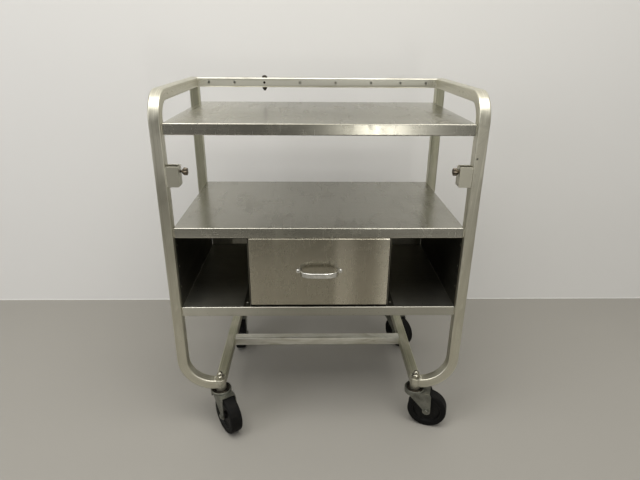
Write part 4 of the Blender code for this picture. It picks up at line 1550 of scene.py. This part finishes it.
@dataclass
class AccessorySocket:
    """Upright socket on a front post, and the thumbscrew that clamps what stands in it."""

    palette: Palette
    name: str
    side: int
    wall: float = 0.0016
    fold_r: float = 0.004
    screw_r: float = 0.003175
    clearance: float = 0.0003
    pitch: float = 0.00127
    thread: float = 0.00055
    knob_r: float = 0.00875
    knob_l: float = 0.012

    def build(self) -> None:
        """Makes and dresses the socket, the shank and the knob."""
        self._socket()
        self._shank()
        self._knob()

    def _socket(self) -> None:
        """The open-topped block."""
        low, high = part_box(f"{self.name}_socket")
        inner = low.x if self.side > 0 else high.x
        bm = block(low, high)
        opening = max(bm.faces, key=lambda f: f.calc_center_median().z)
        bmesh.ops.delete(bm, geom=[opening], context="FACES_ONLY")
        near = 1e-5
        fold = [
            edge
            for edge in bm.edges
            if all(abs(v.co.x - inner) + abs(v.co.z - low.z) < near for v in edge.verts)
        ]
        bmesh.ops.bevel(bm, geom=fold, offset=self.fold_r, segments=8, profile=0.5, affect="EDGES")
        socket = to_object(f"{self.name}_accessory_socket", to_mesh("socket", bm))
        shell = socket.modifiers.new("sheet", "SOLIDIFY")
        shell.thickness = self.wall
        shell.offset = -1
        shell.use_even_offset = True
        screw = self._axis()[0]
        hole = turned([(self.screw_r + self.clearance, depth) for depth in (-0.005, 0.005)], 28)
        combine(socket, [aligned(hole, Vector((inner, screw.y, screw.z)), X)], "DIFFERENCE")
        soften(socket, 0.0006, 3, 50)
        register(socket, self.palette.tube, "cart", [f"{self.name}_socket"])

    def _axis(self) -> tuple[Vector, Vector, Vector]:
        """Returns the shank's two ends, tip first, and the direction from tip to head."""
        low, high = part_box(f"{self.name}_thumbscrew")
        middle = (low + high) / 2
        ends = [Vector((x, middle.y, middle.z)) for x in (low.x, high.x)]
        head, tip = ends[:: self.side]
        return tip, head, -X * self.side

    def _shank(self) -> None:
        """The threaded shank, with a real helix."""
        tip, head, axis = self._axis()
        length = (head - tip).length
        around, per_turn = 20, 5
        tip_share, tip_length = 0.72, 0.0012
        rows = int(length / self.pitch * per_turn)
        loops = []
        for row in range(rows + 1):
            height = length * row / rows
            taper = min(1.0, tip_share + (1 - tip_share) * height / tip_length)
            loop = []
            for i in range(around):
                angle = math.tau * i / around
                phase = (height / self.pitch - i / around) % 1.0
                reach = (self.screw_r - self.thread * abs(2 * phase - 1)) * taper
                loop.append(Vector((reach * math.cos(angle), reach * math.sin(angle), height)))
            loops.append(loop)
        mesh = to_mesh("shank", aligned(loft(loops), tip, axis), 75)
        shank = to_object(f"{self.name}_threaded_shank", mesh)
        nodes = [f"{self.name}_thumbscrew"]
        register(shank, self.palette.black_steel, f"{self.name}_screw", nodes)

    def _knob(self) -> None:
        """The scalloped knob."""
        low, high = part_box(f"{self.name}_knob")
        middle = (low + high) / 2
        base = Vector((high.x if self.side > 0 else low.x, middle.y, middle.z))
        count, lobes, scallop = 96, 8, 0.0017
        bore = self.screw_r + self.clearance
        depth = self.knob_l - 0.0018
        loops = [circle(0.0004, depth, count), circle(bore, depth, count), circle(bore, 0, count)]
        loops += [circle(0.0054, 0, count), circle(0.0057, 0.0004, count), circle(0.0057, 0.0019, count)]
        outline = [(-0.0012, 0.0028), (-0.0003, 0.0032), (0.0, 0.0040), (0.0, 0.0096), (-0.0003, 0.0106)]
        outline += [(-0.0012, 0.0113)]
        loops += [circle(self.knob_r + grow, h, count, lobes, scallop) for grow, h in outline]
        loops += [circle(0.0058, 0.0118, count), circle(0.0050, self.knob_l, count)]
        loops += [circle(0.0044, self.knob_l - 0.0007, count), circle(0.0006, self.knob_l - 0.0007, count)]
        mesh = to_mesh("knob", aligned(loft(loops), base, -X * self.side), 50)
        knob = to_object(f"{self.name}_scalloped_knob", mesh)
        nodes = [f"{self.name}_knob"]
        register(knob, self.palette.knob, f"{self.name}_knob_body", nodes)


# --- Casters ---------------------------------------------------------------------------------------


@dataclass
class Caster:
    """One swivel caster: race and stem, acorn nut, pressed fork, axle, hub and tyre."""

    palette: Palette
    row: str
    name: str
    cup_r: float = 0.027
    cup_wall: float = 0.003
    cup_top: float = 0.110
    plate: tuple[float, float] = (0.1030, 0.1055)
    skirt_low: float = 0.0960
    back: float = 0.041
    leg_in: float = 0.0176
    leg_wall: float = 0.0025
    boss_r: float = 0.0105
    tyre_bore: float = 0.0380
    stem_r: float = 0.00635
    stem_head: float = 0.0090
    race_r: tuple[float, float] = (0.0168, 0.0215)
    race_high: float = 0.1083
    axle_bore: float = 0.0043
    axle_flats: float = 0.0120
    axle_head: float = 0.0042
    nut_flats: float = 0.0190
    dome_r: float = 0.0078
    edge_r: float = 0.0006

    def __post_init__(self) -> None:
        """Finds the caster's stem, wheel centre and turn from its CAD nodes."""
        self.node = f"{self.row}_{self.name}"
        self.stem = stem_line(f"{self.node}_sleeve")
        low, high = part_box(f"{self.node}_tyre")
        self.wheel_r = (high.z - low.z) / 2
        trail = stem_line(f"{self.node}_tyre") - self.stem
        self.trail = trail.length
        turn = math.atan2(trail.x, -trail.y)
        self.matrix = Matrix.Translation(self.stem) @ Matrix.Rotation(turn, 4, "Z")
        self.hub_place = Vector((0, -self.trail, self.wheel_r))

    def _place(self, name: str, bm: bmesh.types.BMesh, sharp: float = 35.0) -> bpy.types.Object:
        """Puts a shape made about the swivel axis where the caster is.

        Args:
            name: the piece's name.
            bm: the shape.
            sharp: edges that turn more than this many degrees stay crisp.

        Returns:
            The piece.
        """
        obj = to_object(f"{self.node}_{name}", to_mesh(name, bm, sharp))
        obj.data.transform(self.matrix)
        return obj

    def build(self) -> None:
        """Makes and dresses the caster."""
        self._fork()
        self._stem()
        self._nut()
        self._tyre()
        self._hub()
        self._axle()

    def _fork(self) -> None:
        """Pressed fork with its raised cup, skirt and tapered legs."""
        low, high = self.plate
        lap = 0.0004
        inner = self.cup_r - self.cup_wall
        half = self.leg_in + self.leg_wall
        outline = arc(self.cup_r, -42, 222, 44)
        outline += [Vector((-half, -self.back, 0)), Vector((half, -self.back, 0))]
        fork = to_object(f"{self.node}_pressed_fork", to_mesh("fork", prism(outline, Z, low, high)))
        outer, top = self.cup_r, self.cup_top
        cup = [(outer, low + lap), (outer, top - 0.0015), (outer - 0.0005, top - 0.0004)]
        cup += [(outer - 0.0014, top), (inner + 0.0006, top), (inner, top - 0.0006), (inner, low + lap)]
        skirt = arc(outer, 0, 180, 30) + arc(inner, 180, 0, 30)
        boss = [(p.x - self.trail, p.y + self.wheel_r) for p in arc(self.boss_r, 22, -190, 20)]
        edge = [(-self.back - 0.0045, 0.099), (-self.back - 0.0005, high - lap), (0.016, high - lap)]
        leg = [Vector((0, y, z)) for y, z in boss + edge + [(0.014, self.skirt_low)]]
        parts = [turned(cup, 64, ring=True), prism(skirt, Z, self.skirt_low, high - lap)]
        for side in SIDES.values():
            near, far = sorted((side * self.leg_in, side * half))
            parts.append(prism(leg, X, near, far))
        combine(fork, parts, "UNION")
        stem_bore = self.stem_r + self.edge_r
        bores = [aligned(turned([(stem_bore, 0.09), (stem_bore, 0.12)], 32), Vector(), Z)]
        bore = turned([(self.axle_bore, -0.03), (self.axle_bore, 0.03)], 24)
        combine(fork, [*bores, aligned(bore, self.hub_place, X)], "DIFFERENCE")
        soften(fork, self.edge_r, 2, 50)
        fork.data.transform(self.matrix)
        register(fork, self.palette.zinc, f"{self.node}_caster", [f"{self.node}_fork"])

    def _stem(self) -> None:
        """Stem with its bearing race. The race's blackened steel is partly its own dark finish and partly
        painted shade for the dark gap in the fork's cup.
        """
        low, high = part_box(f"{self.node}_stem")
        head, rod = self.stem_head, self.stem_r
        race_in, race_out = self.race_r
        gap, edge = 0.0003, 0.0012
        under, race_low, race_high = self.plate[0] - gap, self.plate[1] + gap, self.race_high
        profile = [(0.0004, low.z), (0.0066, low.z), (0.0084, low.z + 0.0006), (head, low.z + 0.0016)]
        profile += [(head, under), (rod, under), (rod, race_low), (race_out - gap, race_low)]
        profile += [(race_out, race_low + gap), (race_out, race_high - 0.0008)]
        profile += [(race_out - gap, race_high - gap), (0.0205, race_high), (0.0185, race_high)]
        profile += [(0.0181, race_high - 0.0007), (0.0172, race_high - 0.0007), (race_in, race_high)]
        profile += [(rod, race_high), (rod, high.z - edge), (rod - edge, high.z), (0.0004, high.z)]
        stem = self._place("stem_and_race", turned(profile, 48))
        register(stem, self.palette.black_steel, "cart", [f"{self.node}_stem"])

    def _nut(self) -> None:
        """Acorn nut on top of the sleeve, with its washer face."""
        low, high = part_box(f"{self.node}_nut")
        count = 48
        bore = self.stem_r + 0.0003
        base = low.z
        inside = [(0.0006, 0.0146), (bore, 0.0136), (bore, 0.0), (0.0090, 0.0), (0.0093, 0.0005)]
        loops = [circle(radius, base + rise, count) for radius, rise in inside]
        loops.append(hexagon(self.nut_flats, base + 0.0010, count))
        loops.append(hexagon(self.nut_flats + 0.0001, base + 0.0074, count))
        loops += [circle(0.0093, base + 0.0086, count), circle(0.0086, base + 0.0089, count)]
        dome_low = base + 0.0096
        height = high.z - dome_low
        loops.append(circle(self.dome_r, dome_low, count))
        start = max(0.0, height - self.dome_r)
        for degrees in (0, 12, 24, 36, 48, 60, 70, 79, 86):
            angle = math.radians(degrees)
            rise = start + (height - start) * math.sin(angle)
            loops.append(circle(self.dome_r * math.cos(angle), dome_low + rise, count))
        nut = to_object(f"{self.node}_acorn_nut", to_mesh("nut", loft(loops), 24))
        nut.data.transform(Matrix.Translation(self.stem))
        register(nut, self.palette.nut_plate, "cart", [f"{self.node}_nut"])

    def _tyre(self) -> None:
        """Solid tyre with round shoulders and a fine mould line, marked where its tread gathers dust."""
        r = self.wheel_r
        bore, wall, shoulder = self.tyre_bore, 0.0157, 0.047
        half = [(bore, 0.0150), (bore + 0.0006, 0.0154), (0.0398, 0.0154), (0.0404, wall), (0.0452, wall)]
        half += [(shoulder, 0.0155), (0.0487, 0.0149), (0.0499, 0.0139), (r - 0.0002, 0.0125)]
        half += [(r, 0.0108), (r, 0.0005), (r - 0.0002, 0.0002)]
        mesh = to_mesh("tyre", turned(mirrored(half), 96, ring=True), 40)
        tread = mesh.attributes.new("tread", "FLOAT", "POINT")
        for vertex, item in zip(mesh.vertices, tread.data):
            reach = math.hypot(vertex.co.x, vertex.co.y)
            item.value = min(1.0, max(0.0, (reach - shoulder) / (r - shoulder)))
        tyre = to_object(f"{self.node}_solid_tyre", mesh)
        across = Matrix.Translation(self.hub_place) @ Matrix.Rotation(math.pi / 2, 4, "Y")
        tyre.data.transform(self.matrix @ across)
        register(tyre, self.palette.rubber, f"{self.node}_wheel", [f"{self.node}_tyre"])

    def _hub(self) -> None:
        """Moulded wheel centre with a dished web and a long boss."""
        bore, boss, web = self.axle_bore, 0.0171, 0.0086
        half = [(bore, boss - 0.0003), (bore + 0.0004, boss), (0.0090, boss), (0.0095, 0.0167)]
        half += [(0.0104, 0.0095), (0.0118, web), (0.0300, web), (0.0328, 0.0094), (0.0346, 0.0128)]
        half += [(0.0354, 0.0145), (0.0376, 0.0148), (self.tyre_bore, 0.0144)]
        hub = self._place("wheel_centre", aligned(turned(mirrored(half), 72, ring=True), self.hub_place, X))
        register(hub, self.palette.nylon, f"{self.node}_wheel", [f"{self.node}_hub"])

    def _axle(self) -> None:
        """Axle bolt, with a hexagon head, a washer and a nut outside the legs."""
        outside = self.leg_in + self.leg_wall + 0.0003
        count = 48
        loops = []
        for sign in (1, -1):
            ring = [circle(radius, outside + self.axle_head, count) for radius in (0.0004, 0.0056)]
            ring += [hexagon(self.axle_flats, outside + rise, count) for rise in (0.0037, 0.0010)]
            ring += [circle(0.0066, outside + 0.0009, count), circle(0.0066, outside, count)]
            ring += [circle(0.0040, outside, count)]
            flipped = [[Vector((p.x, p.y, sign * p.z)) for p in loop] for loop in ring]
            loops += flipped if sign > 0 else flipped[::-1]
        axle = self._place("axle_bolt", aligned(loft(loops), self.hub_place, X), 30)
        register(axle, self.palette.zinc, f"{self.node}_wheel", [f"{self.node}_axle"])


# --- Stage -----------------------------------------------------------------------------------------


@dataclass
class Studio:
    """Floor, backdrop, soft lights and camera."""

    front: float
    floor_hex: str = "94918a"
    wall_hex: str = "dad9d6"
    floor_reach: float = 1.15  # how far the floor runs in front of the posts
    wall_y: float = 0.69  # from the front of the posts
    wall_top: float = 3.2
    half_width: float = 5.0
    cove: float = 0.002
    floor_back: float = 3.0  # the floor goes on behind the backdrop, for views from there
    camera_place: tuple[float, float, float] = (-0.02125, -1.0466, 0.9628)
    pitch: float = 22.134
    yaw: float = 1.222
    roll: float = 0.428
    lens: float = 27.52
    film_width: float = 36.0
    lit_point: tuple[float, float, float] = (0.0, 0.0, 0.45)  # where the lamps aim
    surround: tuple[str, str] = ("84827c", "f1f0ee")  # low and high round the room
    surround_strength: float = 0.62

    def _camera(self) -> None:
        """Sets the camera up from its direction of view."""
        pitch, yaw, roll = (math.radians(v) for v in (self.pitch, self.yaw, self.roll))
        ahead = Vector((math.sin(yaw) * math.cos(pitch), math.cos(yaw) * math.cos(pitch), -math.sin(pitch)))
        right = Vector((math.cos(yaw), -math.sin(yaw), 0))
        up = right.cross(ahead)
        rolled = right * math.cos(roll) + up * math.sin(roll)
        upright = up * math.cos(roll) - right * math.sin(roll)
        data = bpy.data.cameras.new("camera")
        data.lens = self.lens
        data.sensor_width = self.film_width
        data.clip_start = 0.01
        camera = bpy.data.objects.new("camera", data)
        bpy.context.scene.collection.objects.link(camera)
        x, y, z = self.camera_place
        turn = Matrix((rolled, upright, -ahead)).transposed().to_4x4()
        camera.matrix_world = Matrix.Translation((x, self.front + y, z)) @ turn
        bpy.context.scene.camera = camera

    def _stage(self) -> None:
        """Pale floor, and a pale backdrop that meets it in a tight curve."""
        wall, cove = self.front + self.wall_y, self.cove
        for name, hex_code in (("floor", self.floor_hex), ("backdrop", self.wall_hex)):
            made = Surface(f"painted_{name}", 0.0, 0.7)
            cloud = made.pattern((700, 700, 700), 0.3, 0.7)
            made.colour((cloud, hex_code), base=hex_code)
            if name == "floor":
                outline = [(self.front - self.floor_reach, 0.0), (wall + self.floor_back, 0.0)]
            else:
                self._clear_from_behind(made)
                outline = [(wall - cove, 0.0005)]
                outline += [
                    (wall - cove + cove * math.sin(a), cove - cove * math.cos(a))
                    for a in (math.radians(d) for d in range(10, 91, 10))
                ]
                outline.append((wall, self.wall_top))
            mesh = bpy.data.meshes.new(name)
            verts = [(x, y, z) for y, z in outline for x in (-self.half_width, self.half_width)]
            faces = [(2 * i, 2 * i + 1, 2 * i + 3, 2 * i + 2) for i in range(len(outline) - 1)]
            mesh.from_pydata(verts, [], faces)
            mesh.materials.append(made.material)
            mesh.shade_smooth()
            to_object(name, mesh)

    @staticmethod
    def _clear_from_behind(made: Surface) -> None:
        """Lets views from behind the backdrop see through it.

        Args:
            made: the backdrop's material.
        """
        behind = made.add("ShaderNodeNewGeometry").outputs["Backfacing"]
        clear = made.add("ShaderNodeBsdfTransparent")
        shown = made.add("ShaderNodeMixShader", {0: behind, 1: made.shader, 2: clear})
        made.tree.links.new(shown.outputs[0], made.tree.nodes["Material Output"].inputs["Surface"])

    def _lights(self) -> None:
        """Soft boxes overhead and to the sides, and an even surround."""
        lamps = [
            ("overhead_box", (0.0, self.front - 0.7, 2.9), (2.8, 1.8), 66.0, "fffdf8"),
            ("left_box", (-2.4, self.front - 1.4, 1.5), (1.0, 1.6), 20.0, "fbfbff"),
            ("right_box", (2.2, self.front - 1.8, 1.2), (0.6, 1.5), 4.0, "fffcf6"),
            ("low_box", (0.54, self.front - 3.0, 0.33), (0.13, 0.26), 5.2, "fffdf8"),
        ]
        for name, place, (wide, deep), watts, tint in lamps:
            data = bpy.data.lights.new(name, "AREA")
            data.shape = "RECTANGLE"
            data.size, data.size_y = wide, deep
            data.energy = watts
            data.color = linear(tint)[:3]
            lamp = bpy.data.objects.new(name, data)
            bpy.context.scene.collection.objects.link(lamp)
            aim = Vector(self.lit_point) - Vector(place)
            turn = aim.to_track_quat("-Z", "Y").to_matrix().to_4x4()
            lamp.matrix_world = Matrix.Translation(place) @ turn
        world = bpy.data.worlds.new("surround")
        bpy.context.scene.world = world
        world.use_nodes = True
        tree = world.node_tree
        ray = add_node(tree, "ShaderNodeTexCoord").outputs["Generated"]
        height = add_node(tree, "ShaderNodeSeparateXYZ", {0: ray}).outputs[2]
        lift = add_node(tree, "ShaderNodeMapRange", {"Value": height, "From Min": -0.04, "From Max": 0.6})
        low, high = (linear(tone) for tone in self.surround)
        tone = add_node(tree, "ShaderNodeMix", {0: lift, 6: low, 7: high}, data_type="RGBA")
        glow = tree.nodes["Background"].inputs
        tree.links.new(tone.outputs[2], glow["Color"])
        glow["Strength"].default_value = self.surround_strength

    def build(self) -> None:
        """Sets the whole studio up."""
        self._camera()
        self._stage()
        self._lights()
        bpy.context.scene.view_settings.view_transform = "Standard"


def main() -> None:
    """Builds the cart, one sub-assembly after another."""
    logging.basicConfig(level=logging.INFO, format="%(name)s: %(message)s")
    palette = Palette()
    workshop = Workshop()
    tubes = TubeFrame(palette, workshop)
    tubes.build()
    Shelves(palette).build()
    Cabinet(palette, workshop).build()
    Drawer(palette, workshop).build()
    for name, side in SIDES.items():
        AccessorySocket(palette, name, side).build()
    for row in ROWS:
        for name in SIDES:
            Caster(palette, row, name).build()
    Studio(tubes.front).build()


if __name__ == "__main__":
    main()
